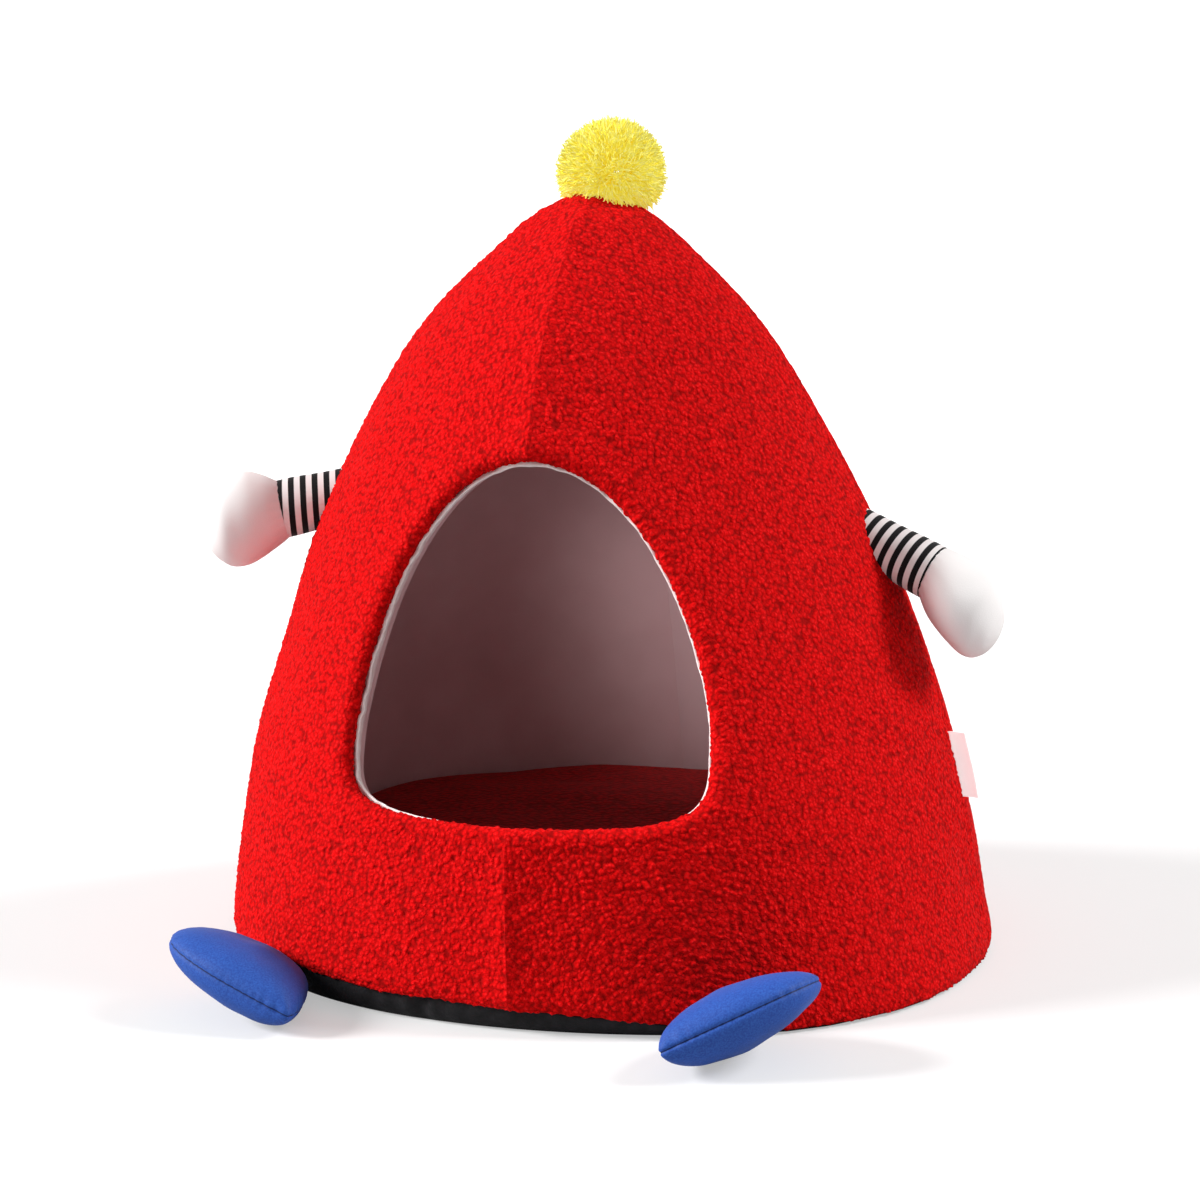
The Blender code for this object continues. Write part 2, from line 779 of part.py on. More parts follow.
def pompom(tree):
    """A core ball with three-sided yarn locks, shorter where the ball sits on the cover."""
    chance = np.random.default_rng(LOCK_SEED)
    core = core_radius()
    ball = bmesh.new()
    bmesh.ops.create_icosphere(ball, subdivisions=POMPOM_DIVISIONS, radius=core)
    ball.verts.ensure_lookup_table()
    centre = np.array(POMPOM_CENTRE)
    shape = Shape()
    shape.add([[tuple(centre + np.array(vert.co)) for vert in ball.verts]])
    for face in ball.faces:
        corners = [np.array(vert.co) for vert in face.verts]
        ring = [vert.index for vert in face.verts]
        middle = sum(corners) / 3
        direction = unit(middle)
        wish = POMPOM_RADIUS - LOCK_RAGGED * chance.random()
        tilt = chance.uniform(-LOCK_TILT, LOCK_TILT, 3)
        length = min(lock_length(unit(corner), core, wish) for corner in [*corners, direction])
        if length - core < LOCK_LEAST:
            shape.faces.append(ring)
            continue
        root = [middle + (corner - middle) * LOCK_SHRINK for corner in corners]
        grown = length / core
        tip = [middle * grown + (c - middle) * grown * LOCK_TIP_SHRINK + tilt for c in corners]
        layers = shape.add([[tuple(centre + p) for p in root], [tuple(centre + p) for p in tip]])
        shape.strip(ring, layers[0], closed=True)
        shape.strip(layers[0], layers[1], closed=True)
        shape.faces.append(layers[1])
    ball.free()
    points = centre + (np.array(shape.points) - centre) * (1, 1, POMPOM_FLATNESS)
    points = seated(points, shape.faces, tree, (0, 0, -1))
    return make_object("pompom", points, shape.faces, "yellow_yarn", POMPOM_CENTRE)


def tab():
    """A blank folded tab that stands out of the right side seam."""
    shape = Shape()
    layers = []
    for side in (-1, 1):
        layer = []
        for height in np.linspace(TAB_LOW, TAB_HIGH, TAB_ROWS):
            run = at_height(height, "run")
            x, y, z = shell_point(math.pi / 2, run, 0)
            shares = np.linspace(0, 1, TAB_COLUMNS + 1)
            layer.append(
                [
                    (x + GAP + TAB_WIDTH * s, y - TAB_CURL * s**2 + side * TAB_THICKNESS / 2, z)
                    for s in shares
                ]
            )
        layers.append(layer)
    low = shape.add(layers[0])
    high = shape.add(layers[1])
    loops = [a + b[::-1] for a, b in zip(low, high)]
    for first, second in zip(loops, loops[1:]):
        shape.strip(first, second, closed=True)
    for row in (0, TAB_ROWS - 1):
        shape.strip(low[row], high[row])
    return make_object("tab", shape.points, shape.faces, "white_tab")


def build():
    clear_scene()
    front_panel("cover_front_right", 1)
    front_panel("cover_front_left", -1)
    back_panel("cover_back_right", 1)
    back_panel("cover_back_left", -1)
    lining()
    base()
    cushion()
    tree = cover_tree()
    for side in ("left", "right"):
        sleeve(side)
        hand(side)
        foot(side, tree)
    pompom(tree)
    tab()


build()
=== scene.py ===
"""The look of the cone-shaped pet house: curly fleece panels, a smooth lining, a plush cushion,
a soft black base, striped sleeves with stuffed hands, flat stuffed feet, a yarn pompom and a tab.

Metres, +Z up, the entrance faces -Y. An angle round the house starts at the front seam and grows
towards +X, a run is the length along the cover from its top, and a depth is measured inwards.
A side is 1 at the right and -1 at the left, or its word.
"""

import math

import bpy
import numpy as np
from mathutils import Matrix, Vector


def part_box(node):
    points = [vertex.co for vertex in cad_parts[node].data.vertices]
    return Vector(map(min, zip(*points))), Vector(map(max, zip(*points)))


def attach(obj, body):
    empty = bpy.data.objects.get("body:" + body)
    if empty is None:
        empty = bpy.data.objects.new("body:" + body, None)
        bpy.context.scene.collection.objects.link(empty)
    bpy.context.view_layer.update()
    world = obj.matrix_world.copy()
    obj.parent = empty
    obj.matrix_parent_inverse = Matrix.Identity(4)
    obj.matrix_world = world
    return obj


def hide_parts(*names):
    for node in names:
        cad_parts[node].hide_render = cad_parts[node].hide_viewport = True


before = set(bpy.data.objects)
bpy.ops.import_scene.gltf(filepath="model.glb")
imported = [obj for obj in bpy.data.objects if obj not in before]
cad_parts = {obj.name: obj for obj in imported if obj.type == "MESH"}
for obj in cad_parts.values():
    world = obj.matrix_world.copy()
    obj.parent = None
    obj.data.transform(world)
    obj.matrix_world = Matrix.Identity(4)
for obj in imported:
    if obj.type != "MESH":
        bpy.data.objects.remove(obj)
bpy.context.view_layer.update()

# The padded wall

PROFILE = (
    # height, radius at the seams, sideways drift
    (0.4195, 0.0000, -0.0090),
    (0.4090, 0.0294, -0.0090),
    (0.3865, 0.0578, -0.0090),
    (0.3455, 0.0980, -0.0098),
    (0.2910, 0.1325, -0.0095),
    (0.2331, 0.1613, -0.0075),
    (0.1752, 0.1822, -0.0045),
    (0.1172, 0.1988, -0.0027),
    (0.0634, 0.2077, -0.0003),
    (0.0265, 0.2112, 0.0015),
    (0.0085, 0.2122, 0.0025),
)
PROFILE_STEPS = 24
TOP = PROFILE[0][0]
HEM = PROFILE[-1][0]
WALL = 0.017
LOW_SWELL = 0.04
HIGH_DRAW = 0.16
RIDGE_SOFT = 0.03
BULGE = 0.035
BULGE_ANGLE = math.radians(70)
BULGE_POWER = 4
BULGE_HEIGHT = 0.05
HEM_ROLL = 0.0025
HEM_ROLL_HEIGHT = 0.008
HEM_LEVEL_HEIGHT = 0.02
LIFT_HEIGHT = 0.06
HEM_LIFT = np.array(
    (
        # degrees from the front seam, lift
        (-180, 0.0000),
        (-90, 0.0020),
        (-62, 0.0020),
        (-48, 0.0030),
        (-41, 0.0090),
        (-38, 0.0100),
        (-32, 0.0080),
        (-20, 0.0060),
        (-12, 0.0065),
        (12, 0.0030),
        (38, -0.0065),
        (120, -0.0065),
        (180, 0.0000),
    )
)

# The entrance, and the panels' grids

ENTRANCE_TOP = 0.2855
ENTRANCE_SILL = 0.1055
ENTRANCE_SPRING = 0.1405
ENTRANCE_HALF_WIDTH = 0.0995
ARCH_POWER = 1.6
CORNER_POWER = 4.5
OUTLINE_STEPS = 400
SMOOTHING_ROUNDS = 12
PLACING_ROUNDS = 12
# The share of a front panel's columns that end at the side seam. The others end at the hem.
SIDE_SHARE = 14 / 24
SIDE_SPREAD = 1.1
FRONT_COLUMNS = 600
FRONT_ROWS = 138
BACK_COLUMNS = 190
BACK_ROWS = 290
EDGE_ROUND = 0.006
EDGE_DEPTH = 0.0115
EDGE_ROWS = 12
TUCK_DEPTHS = (0.0008, 0.0022, 0.0045, 0.0075)

# Random numbers and lumps

WORD = 0xFFFFFFFF
HASH_AXES = (73856093, 19349663, 83492791)
HASH_SEED = 2654435761
HASH_STEP = 0x9E3779B9
HASH_MIX = ((16, 0x7FEB352D), (15, 0x846CA68B))
LUMP_STEEPNESS = 1.6
LUMP_POWER = 0.7
LUMP_REACH = 1.25


def smooth(value):
    """A soft step from 0 to 1."""
    value = np.clip(value, 0, 1)
    return value * value * (3 - 2 * value)


def spline(rows, steps, first=None, last=None):
    """A smooth line through the rows of a table."""
    rows = np.array(rows, float)
    first = 2 * rows[0] - rows[1] if first is None else first
    last = 2 * rows[-1] - rows[-2] if last is None else last
    knots = np.vstack([first, rows, last])
    share = np.linspace(0, 1, steps, endpoint=False)[:, None]
    pieces = []
    for a, b, c, d in zip(knots, knots[1:], knots[2:], knots[3:]):
        square = (2 * a - 5 * b + 4 * c - d) * share**2
        cube = (3 * b - a - 3 * c + d) * share**3
        pieces.append(0.5 * (2 * b + (c - a) * share + square + cube))
    return np.vstack([*pieces, rows[-1:]])


def meridian():
    """The cover's outer line from the top down: run, height, radius, drift, rise of the normal."""
    line = spline(PROFILE, PROFILE_STEPS, first=np.array(PROFILE[1]) * (1, -1, 1))
    step = np.diff(line[:, :2], axis=0)
    run = np.concatenate([[0], np.cumsum(np.hypot(step[:, 0], step[:, 1]))])
    rise = np.arctan2(np.gradient(line[:, 1], run), -np.gradient(line[:, 0], run))
    rise = np.maximum(rise, 0)
    rise[0] = math.pi / 2
    rise = rise * np.clip((line[:, 0] - HEM) / HEM_LEVEL_HEIGHT, 0, 1)
    return run, line[:, 0], line[:, 1], line[:, 2], rise


LINE = meridian()
FULL_RUN = LINE[0][-1]


def run_at(height):
    """The run where the cover's outer line has this height."""
    return np.interp(-height, -LINE[1], LINE[0])


def section(angle, height, soft=RIDGE_SOFT):
    """The radius at this angle as a share of the radius at the seams, its ridges softened."""
    share = height / TOP
    turn = np.abs(np.sin(2 * angle))
    ridge = (np.sqrt(turn**2 + soft**2) - soft) / (math.sqrt(1 + soft**2) - soft)
    low = np.maximum(0, 1 - (height - HEM) / BULGE_HEIGHT) ** 2
    bulge = BULGE * low * np.maximum(0, np.cos(angle - BULGE_ANGLE)) ** BULGE_POWER
    return 1 - HIGH_DRAW * share * ridge + LOW_SWELL * (1 - share) * turn**2 + bulge


def hem_lift(angle):
    """How far the hem is lifted at this angle."""
    return np.interp(np.degrees(angle), HEM_LIFT[:, 0], HEM_LIFT[:, 1])


def shell(angle, run, depth, soft=RIDGE_SOFT):
    """Points of the padded wall, its lining or the space just inside it."""
    height, radius, drift, rise = (np.interp(run, LINE[0], column) for column in LINE[1:])
    rolled = np.maximum(0, 1 - (height - HEM) / HEM_ROLL_HEIGHT) ** 2
    radius = radius * section(angle, height, soft) - depth * np.cos(rise)
    radius = radius - HEM_ROLL * rolled * np.maximum(0, 1 - depth / WALL)
    lift = hem_lift(angle) * np.maximum(0, 1 - (height - HEM) / LIFT_HEIGHT)
    x = radius * np.sin(angle) + drift
    z = height - depth * np.sin(rise) + lift
    return np.stack(np.broadcast_arrays(x, -radius * np.cos(angle), z), axis=-1)


def entrance_line():
    """The entrance's right half from its top to its sill, with outward directions, in elevation."""
    turn = np.linspace(math.pi / 2, 0, OUTLINE_STEPS)
    arch = ENTRANCE_TOP - ENTRANCE_SPRING
    upper = np.stack([np.cos(turn), ENTRANCE_SPRING + arch * np.sin(turn) ** (2 / ARCH_POWER)], 1)
    turn = np.linspace(0, math.pi / 2, OUTLINE_STEPS)[1:]
    corner = ENTRANCE_SPRING - ENTRANCE_SILL
    across = np.clip(np.cos(turn), 0, 1) ** (2 / CORNER_POWER)
    lower = np.stack([across, ENTRANCE_SPRING - corner * np.sin(turn) ** (2 / CORNER_POWER)], 1)
    dense = np.vstack([upper, lower]) * (ENTRANCE_HALF_WIDTH, 1)
    length = np.concatenate([[0], np.cumsum(np.linalg.norm(np.diff(dense, axis=0), axis=1))])
    at = np.linspace(0, length[-1], FRONT_COLUMNS)
    points = np.stack([np.interp(at, length, dense[:, k]) for k in (0, 1)], axis=1)
    along = np.gradient(points, axis=0)
    out = np.stack([-along[:, 1], along[:, 0]], axis=1)
    for _ in range(SMOOTHING_ROUNDS):
        out[1:-1] = (out[:-2] + out[1:-1] + out[2:]) / 3
        out[0] = (0, 1)
        out[-1] = (0, -1)
        out /= np.linalg.norm(out, axis=1)[:, None]
    points[0, 0] = points[-1, 0] = 0
    return points, out


EDGE_POINTS, EDGE_OUT = entrance_line()


def edge_place(distance):
    """The unrolled places (across, forwards) this far outside the entrance line.

    The distance is one number, or one for each column.
    """
    x, height = (EDGE_POINTS + EDGE_OUT * np.reshape(distance, (-1, 1))).T
    run = run_at(height)
    radius = np.interp(run, LINE[0], LINE[2])
    angle = np.zeros_like(x)
    for _ in range(PLACING_ROUNDS):
        angle = np.arcsin(x / (radius * section(angle, height)))
    return np.stack([run * np.sin(angle), run * np.cos(angle)], axis=1)


def far_place():
    """The outer end of each column: down the side seam from the top, then round the hem."""
    share = np.linspace(0, 1, FRONT_COLUMNS)
    down = np.minimum(share / SIDE_SHARE, 1) ** SIDE_SPREAD * FULL_RUN
    angle = math.pi / 2 * np.clip((1 - share) / (1 - SIDE_SHARE), 0, 1)
    return down[:, None] * np.stack([np.sin(angle), np.cos(angle)], axis=1)


def rolled_up(places, side):
    """The angle and the run of unrolled places on this side."""
    across, forwards = places[..., 0], places[..., 1]
    return side * np.arctan2(across, forwards), np.hypot(across, forwards)


def hashed(cells, seed):
    """Three even random numbers for each whole-numbered cell."""
    key = seed * HASH_SEED
    for k, factor in enumerate(HASH_AXES):
        key = key ^ ((cells[..., k].astype(np.int64) & WORD) * factor)
    found = []
    for k in range(3):
        mixed = (key + k * HASH_STEP).astype(np.uint32)
        for shift, factor in HASH_MIX:
            mixed ^= mixed >> np.uint32(shift)
            mixed *= np.uint32(factor)
        mixed ^= mixed >> np.uint32(16)
        found.append(mixed / 2.0**32)
    return np.stack(found, axis=-1)


def nodules(points, size, seed):
    """Rounded lumps about this far apart: 1 on a lump's crown and 0 in the gaps between them."""
    place = points / size
    cell = np.floor(place)
    nearest = np.full(points.shape[:-1], np.inf)
    second = np.full(points.shape[:-1], np.inf)
    for step in np.ndindex(3, 3, 3):
        other = cell + np.array(step) - 1
        away = np.linalg.norm(other + hashed(other, seed) - place, axis=-1)
        second = np.minimum(second, np.maximum(nearest, away))
        nearest = np.minimum(nearest, away)
    crown = np.clip((second - nearest) * LUMP_STEEPNESS, 0, 1) ** LUMP_POWER
    return crown * np.clip(LUMP_REACH - nearest, 0, 1)


def clouds(points, size, seed):
    """Smooth noise between -1 and 1 whose features are about this far apart."""
    place = points / size
    cell = np.floor(place)
    share = smooth(place - cell)
    total = np.zeros(points.shape[:-1])
    for step in np.ndindex(2, 2, 2):
        weight = np.prod(np.where(np.array(step) == 1, share, 1 - share), axis=-1)
        total += weight * hashed(cell + np.array(step), seed)[..., 0]
    return 2 * total - 1


def grid_faces(rows, columns, closed=False):
    """The quads of a grid of points. A closed one joins its last column to its first."""
    row = np.arange(rows - 1)[:, None] * columns
    column = np.arange(columns if closed else columns - 1)[None, :]
    after = (column + 1) % columns
    corners = (row + column, row + after, row + columns + after, row + columns + column)
    return np.stack(corners, axis=-1).reshape(-1, 4)


def grid_normals(grid, closed=False):
    if closed:
        grid = np.concatenate([grid[:, -1:], grid, grid[:, :1]], axis=1)
    across = np.cross(np.gradient(grid, axis=1), np.gradient(grid, axis=0))
    size = np.linalg.norm(across, axis=-1, keepdims=True)
    across = across / np.maximum(size, 1e-12)
    return across[:, 1:-1] if closed else across


def placed(name, data):
    """A new object with this mesh, lamp or camera, in the scene."""
    made = bpy.data.objects.new(name, data)
    bpy.context.scene.collection.objects.link(made)
    return made


def mesh_object(name, points, faces, material, values=None):
    mesh = bpy.data.meshes.new(name)
    points = np.asarray(points, np.float32).reshape(-1, 3)
    sides = faces.shape[1]
    mesh.vertices.add(len(points))
    mesh.vertices.foreach_set("co", points.ravel())
    mesh.loops.add(faces.size)
    mesh.loops.foreach_set("vertex_index", faces.astype(np.int32).ravel())
    mesh.polygons.add(len(faces))
    mesh.polygons.foreach_set("loop_start", np.arange(0, faces.size, sides, dtype=np.int32))
    for key, value in (values or {}).items():
        layer = mesh.attributes.new(key, "FLOAT", "POINT")
        layer.data.foreach_set("value", np.asarray(value, np.float32).ravel())
    mesh.update(calc_edges=True)
    mesh.validate()
    mesh.shade_smooth()
    mesh.materials.append(material)
    return placed(name, mesh)


def grid_object(name, grid, material, values=None, closed=False, flip=False):
    faces = grid_faces(*grid.shape[:2], closed)
    return mesh_object(name, grid, faces[:, ::-1] if flip else faces, material, values)


# Materials


def linear(colour):
    """An sRGB colour, 0 to 255, as Blender's linear one."""
    share = np.array(colour) / 255
    value = np.where(share <= 0.04045, share / 12.92, ((share + 0.055) / 1.055) ** 2.4)
    return (*value, 1)


WHITE = (255, 255, 255)


class Finish:
    """A Principled material under construction."""

    def __init__(self, name, colour, roughness, sheen=0.0, sheen_colour=WHITE):
        self.material = bpy.data.materials.new(name)
        self.material.use_nodes = True
        self.nodes = self.material.node_tree.nodes
        self.links = self.material.node_tree.links
        self.shader = self.nodes["Principled BSDF"]
        self.set("Base Color", linear(colour))
        self.set("Roughness", roughness)
        self.set("Specular IOR Level", 0.25)
        self.set("Sheen Weight", sheen)
        self.set("Sheen Roughness", 0.4)
        self.set("Sheen Tint", linear(sheen_colour))
        self.height = None
        self.coordinates = self.nodes.new("ShaderNodeTexCoord").outputs["Object"]

    def set(self, name, value):
        self.shader.inputs[name].default_value = value

    def link(self, name, socket):
        self.links.new(socket, self.shader.inputs[name])

    def node(self, kind, **values):
        """A node with its settings, its inputs given by name or number."""
        made = self.nodes.new(kind)
        inputs = values.pop("inputs", {})
        for key, value in values.items():
            setattr(made, key, value)
        for key, value in inputs.items():
            if isinstance(value, bpy.types.NodeSocket):
                self.links.new(value, made.inputs[key])
            else:
                made.inputs[key].default_value = value
        return made

    def math(self, operation, *values, kind="ShaderNodeMath"):
        return self.node(kind, operation=operation, inputs=dict(enumerate(values))).outputs[0]

    def vector_math(self, operation, *values):
        return self.math(operation, *values, kind="ShaderNodeVectorMath")

    def value(self, name):
        return self.node("ShaderNodeAttribute", attribute_name=name).outputs["Fac"]

    def noise(self, size, detail=2.0):
        inputs = {"Vector": self.coordinates, "Scale": 1 / size, "Detail": detail}
        return self.node("ShaderNodeTexNoise", inputs=inputs).outputs["Fac"]

    def warped(self, size, amount):
        """The coordinates, moved about by up to half this amount."""
        inputs = {"Vector": self.coordinates, "Scale": 1 / size, "Detail": 1.0}
        drift = self.node("ShaderNodeTexNoise", inputs=inputs).outputs["Color"]
        return self.vector_math("MULTIPLY_ADD", drift, [amount] * 3, self.coordinates)

    def granules(self, size, place):
        """Rounded grains about this far apart: 1 on a grain's crown."""
        inputs = {"Vector": place, "Scale": 1 / size}
        away = self.node("ShaderNodeTexVoronoi", inputs=inputs).outputs["Distance"]
        return self.math("SUBTRACT", 1.0, away)

    def ramp(self, fac, stops):
        made = self.node("ShaderNodeValToRGB", inputs={"Fac": fac})
        elements = made.color_ramp.elements
        for element, (position, colour) in zip(elements, (stops[0], stops[-1])):
            element.position = position
            element.color = linear(colour)
        for position, colour in stops[1:-1]:
            elements.new(position).color = linear(colour)
        return made.outputs["Color"]

    def mix(self, fac, first, second, blend="MIX"):
        inputs = {0: fac, 6: first, 7: second}
        made = self.node("ShaderNodeMix", data_type="RGBA", blend_type=blend, inputs=inputs)
        return made.outputs[2]

    def bump(self, socket, distance, strength):
        inputs = {"Height": socket, "Distance": distance, "Strength": strength}
        if self.height:
            inputs["Normal"] = self.height
        self.height = self.node("ShaderNodeBump", inputs=inputs).outputs["Normal"]
        self.link("Normal", self.height)


CURL = 0.0024
TUFT = 0.0035
RED_SHEEN = (255, 60, 60)
BLUE_SHEEN = (150, 180, 255)
YARN_SHEEN = (255, 250, 170)
# Each ramp holds places from 0 to 1 and the colour at each.
# The fleece's curl ramp: darker in the gaps between curls, painted shade, and paler on their
# crowns, a painted highlight.
FLEECE_CURL_SHADE_AND_HIGHLIGHT = ((0.2, (160, 0, 0)), (0.45, (202, 0, 1)), (0.7, (224, 2, 5)), (1.0, (244, 36, 38)))
# The fleece's lift ramp darkens the pile's hollows and its seams: painted shade.
FLEECE_CREVICE_SHADE = ((0.0, (226, 205, 205)), (0.4, WHITE))
# The lining's cloth ramp is pinker and darker than its lip: painted red bounce light from the
# cushion and painted shade inside the house.
LINING_BOUNCE_AND_SHADE = ((0.3, (206, 168, 170)), (0.7, (214, 178, 180)))
LINING_LIP = ((0.3, (236, 220, 218)), (0.7, (250, 240, 238)))
BASE_CLOTH = ((0.3, (12, 12, 13)), (0.7, (30, 28, 31)))
# The cushion is painted darker in the gaps between its tufts: painted shade.
PLUSH_TUFT_SHADE = ((0.3, (104, 0, 3)), (0.9, (176, 10, 14)))
BLUE_CLOTH = ((0.3, (31, 66, 148)), (0.7, (45, 90, 176)))
BLUE_SEAM = ((0.0, (16, 24, 66)), (0.5, WHITE))
YARN = ((0.0, (240, 200, 30)), (0.45, (255, 238, 76)), (1.0, (255, 250, 140)))
# The yarn's small glow is painted light shining through it.
YARN_PAINTED_GLOW = 0.4
YARN_ROUNDNESS = 1.6
# The tab's small glow is painted light shining through it.
TAB_PAINTED_GLOW = 0.42
STRIPES = {
    # pitch, width of a black stripe, where the first one starts from the hand, slant by height
    "right": (0.00685, 0.0034, 0.0042, 0.0),
    "left": (0.00685, 0.0034, 0.0001, 0.165),
}
STRIPE_SOFT = 0.02
THIN_LINE = {"right": 0.0012, "left": 0.0}
WHITE_STRIPE = (232, 226, 225)
BLACK_STRIPE = (9, 8, 10)


def fleece_finish():
    made = Finish("red fleece", (218, 2, 4), roughness=0.9, sheen=0.05, sheen_colour=RED_SHEEN)
    made.set("Specular IOR Level", 0.1)
    curls = made.granules(CURL, made.warped(size=0.003, amount=0.0022))
    # Painted shade in the gaps between curls and a painted highlight on their crowns.
    tips = made.ramp(curls, FLEECE_CURL_SHADE_AND_HIGHLIGHT)
    # Painted shade: darker where the lift is low, in the pile's hollows and along the seams.
    lumps = made.ramp(made.value("lift"), FLEECE_CREVICE_SHADE)
    made.link("Base Color", made.mix(1.0, tips, lumps, "MULTIPLY"))
    made.bump(curls, distance=0.0011, strength=0.8)
    made.bump(made.noise(size=0.0009), distance=0.0003, strength=0.5)
    return made.material


def lining_finish():
    made = Finish("pale lining", (214, 196, 196), roughness=0.8, sheen=0.1)
    # Away from the lip the colour is painted bounce light and shade, pinker and darker than the
    # lining's own pale colour.
    cloth = made.ramp(made.noise(size=0.04), LINING_BOUNCE_AND_SHADE)
    lip = made.ramp(made.noise(size=0.004), LINING_LIP)
    made.link("Base Color", made.mix(made.value("lip"), cloth, lip))
    made.bump(made.noise(size=0.0007), distance=0.0002, strength=0.35)
    return made.material


def base_finish():
    made = Finish("black base", (17, 16, 18), roughness=0.7, sheen=0.2, sheen_colour=(90, 90, 95))
    made.link("Base Color", made.ramp(made.noise(size=0.006, detail=3), BASE_CLOTH))
    made.bump(made.noise(size=0.0016, detail=3), distance=0.0006, strength=0.6)
    return made.material


def plush_finish():
    made = Finish("red plush", (150, 8, 12), roughness=0.95, sheen=0.3, sheen_colour=RED_SHEEN)
    tufts = made.granules(TUFT, made.warped(size=0.004, amount=0.003))
    # Painted shade: darker in the gaps between the tufts.
    made.link("Base Color", made.ramp(tufts, PLUSH_TUFT_SHADE))
    made.bump(tufts, distance=0.001, strength=0.7)
    return made.material


def knit_finish(side):
    """Even stripes across the sleeve, set by each point's distance from the hand."""
    made = Finish("striped knit " + side, WHITE_STRIPE, roughness=0.85, sheen=0.1)
    pitch, black, first, _ = STRIPES[side]
    place = made.math("MULTIPLY_ADD", made.value("back"), 1 / pitch, 1 - first / pitch)
    stops = (
        (0.0, BLACK_STRIPE),
        (black / pitch - STRIPE_SOFT, BLACK_STRIPE),
        (black / pitch + STRIPE_SOFT, WHITE_STRIPE),
        (1 - STRIPE_SOFT, WHITE_STRIPE),
        (1.0, BLACK_STRIPE),
    )
    stripes = made.ramp(made.math("FRACT", place), stops)
    thin = made.math("LESS_THAN", made.value("back"), THIN_LINE[side])
    made.link("Base Color", made.mix(thin, stripes, linear(BLACK_STRIPE)))
    made.bump(made.noise(size=0.0008), distance=0.0003, strength=0.6)
    return made.material


def jersey_finish():
    made = Finish("white jersey", (238, 234, 233), roughness=0.85, sheen=0.1)
    made.bump(made.noise(size=0.0007), distance=0.0002, strength=0.4)
    return made.material


def blue_finish():
    made = Finish("blue cloth", (44, 80, 170), roughness=0.62, sheen=0.12, sheen_colour=BLUE_SHEEN)
    cloth = made.ramp(made.noise(size=0.0009), BLUE_CLOTH)
    seam = made.ramp(made.value("seam"), BLUE_SEAM)
    made.link("Base Color", made.mix(1.0, cloth, seam, "MULTIPLY"))
    made.bump(made.noise(size=0.0005, detail=1), distance=0.00015, strength=0.4)
    return made.material


def yarn_finish():
    """Soft yarn, shaded as the whole ball is. Its small glow is painted light shining through it.
    """
    made = Finish("yellow yarn", (255, 244, 90), roughness=0.9, sheen=0.2, sheen_colour=YARN_SHEEN)
    colour = made.ramp(made.value("tone"), YARN)
    made.link("Base Color", colour)
    # Painted light: the yarn glows in its own colour.
    made.link("Emission Color", colour)
    made.set("Emission Strength", YARN_PAINTED_GLOW)
    away = made.vector_math("SUBTRACT", made.coordinates, POMPOM_MIDDLE)
    away = made.vector_math("NORMALIZE", away)
    surface = made.node("ShaderNodeNewGeometry").outputs["Normal"]
    both = made.vector_math("MULTIPLY_ADD", away, [YARN_ROUNDNESS] * 3, surface)
    made.link("Normal", made.vector_math("NORMALIZE", both))
    return made.material


def tab_finish():
    """Thin white cloth. Its small glow is painted light shining through it."""
    made = Finish("white tab", (252, 252, 252), roughness=0.55)
    # Painted light: the tab glows white.
    made.set("Emission Color", (1, 1, 1, 1))
    made.set("Emission Strength", TAB_PAINTED_GLOW)
    made.bump(made.noise(size=0.0006, detail=1), distance=0.0001, strength=0.3)
    return made.material


# The cover

GRANULE = 0.0036
GRANULE_HEIGHT = 0.0011
GRANULE_LEVEL = 0.45
GRANULE_SHARE = 0.72
GRANULE_SEED = 3
CLUMP = 0.0085
CLUMP_HEIGHT = 0.0004
CLUMP_LEVEL = 0.4
CLUMP_SEED = 5
WANDER = 0.0011
WANDER_SIZE = 0.004
WANDER_SEEDS = (11, 12, 13)
# Where the pile is bare at a seam its lift falls to this share, so the colour ramp paints shade
# along the seam.
SEAM_SHADE_LIFT = 0.35
SWELL = 0.055
SWELL_HEIGHT = 0.0012
SWELL_FADE = 0.03
SWELL_SEED = 21
SEAM_DIP = 0.0012
SEAM_WIDTH = 0.0022
SEAM_BARE = 0.0012
# The front seam stands proud above the entrance and below it.
SEAM_RIDGE = 0.0030
SEAM_RIDGE_WIDTH = 0.010
SEAM_RIDGE_RUN = 0.235
SEAM_RIDGE_FADE = 0.05
LOW_RIDGE_RUN = 0.37
LOW_RIDGE_FADE = 0.04
LOW_RIDGE_SHARE = 1.2
RIDGE_FILL = 0.7


def fleece_lift(grid, bare):
    """The pile's height over a surface and how near each point is to the tips, 0 to 1."""
    wander = np.stack([clouds(grid, WANDER_SIZE, seed) for seed in WANDER_SEEDS], axis=-1)
    moved = grid + wander * WANDER
    fine = nodules(moved, GRANULE, GRANULE_SEED)
    coarse = nodules(moved, CLUMP, CLUMP_SEED)
    lift = np.clip(GRANULE_SHARE * fine + (1 - GRANULE_SHARE) * coarse, 0, 1)
    height = GRANULE_HEIGHT * (fine - GRANULE_LEVEL) + CLUMP_HEIGHT * (coarse - CLUMP_LEVEL)
    # The lift only sets colour: the fleece's ramp paints shade where it is low.
    return height * bare, lift * (SEAM_SHADE_LIFT + (1 - SEAM_SHADE_LIFT) * bare)


def seam_distance(angle, run):
    """How far a point is from the nearest seam, along the surface."""
    radius = np.interp(run, LINE[0], LINE[2])
    quarter = np.abs((np.abs(angle) + math.pi / 4) % (math.pi / 2) - math.pi / 4)
    return radius * quarter


def front_ridge(angle, run):
    """How far the front seam stands proud at each point, as a share."""
    high = smooth((SEAM_RIDGE_RUN - run) / SEAM_RIDGE_FADE) * smooth(run / SEAM_RIDGE_FADE)
    low = LOW_RIDGE_SHARE * smooth((run - LOW_RIDGE_RUN) / LOW_RIDGE_FADE)
    return (high + low) * (np.abs(angle) < math.pi / 4)


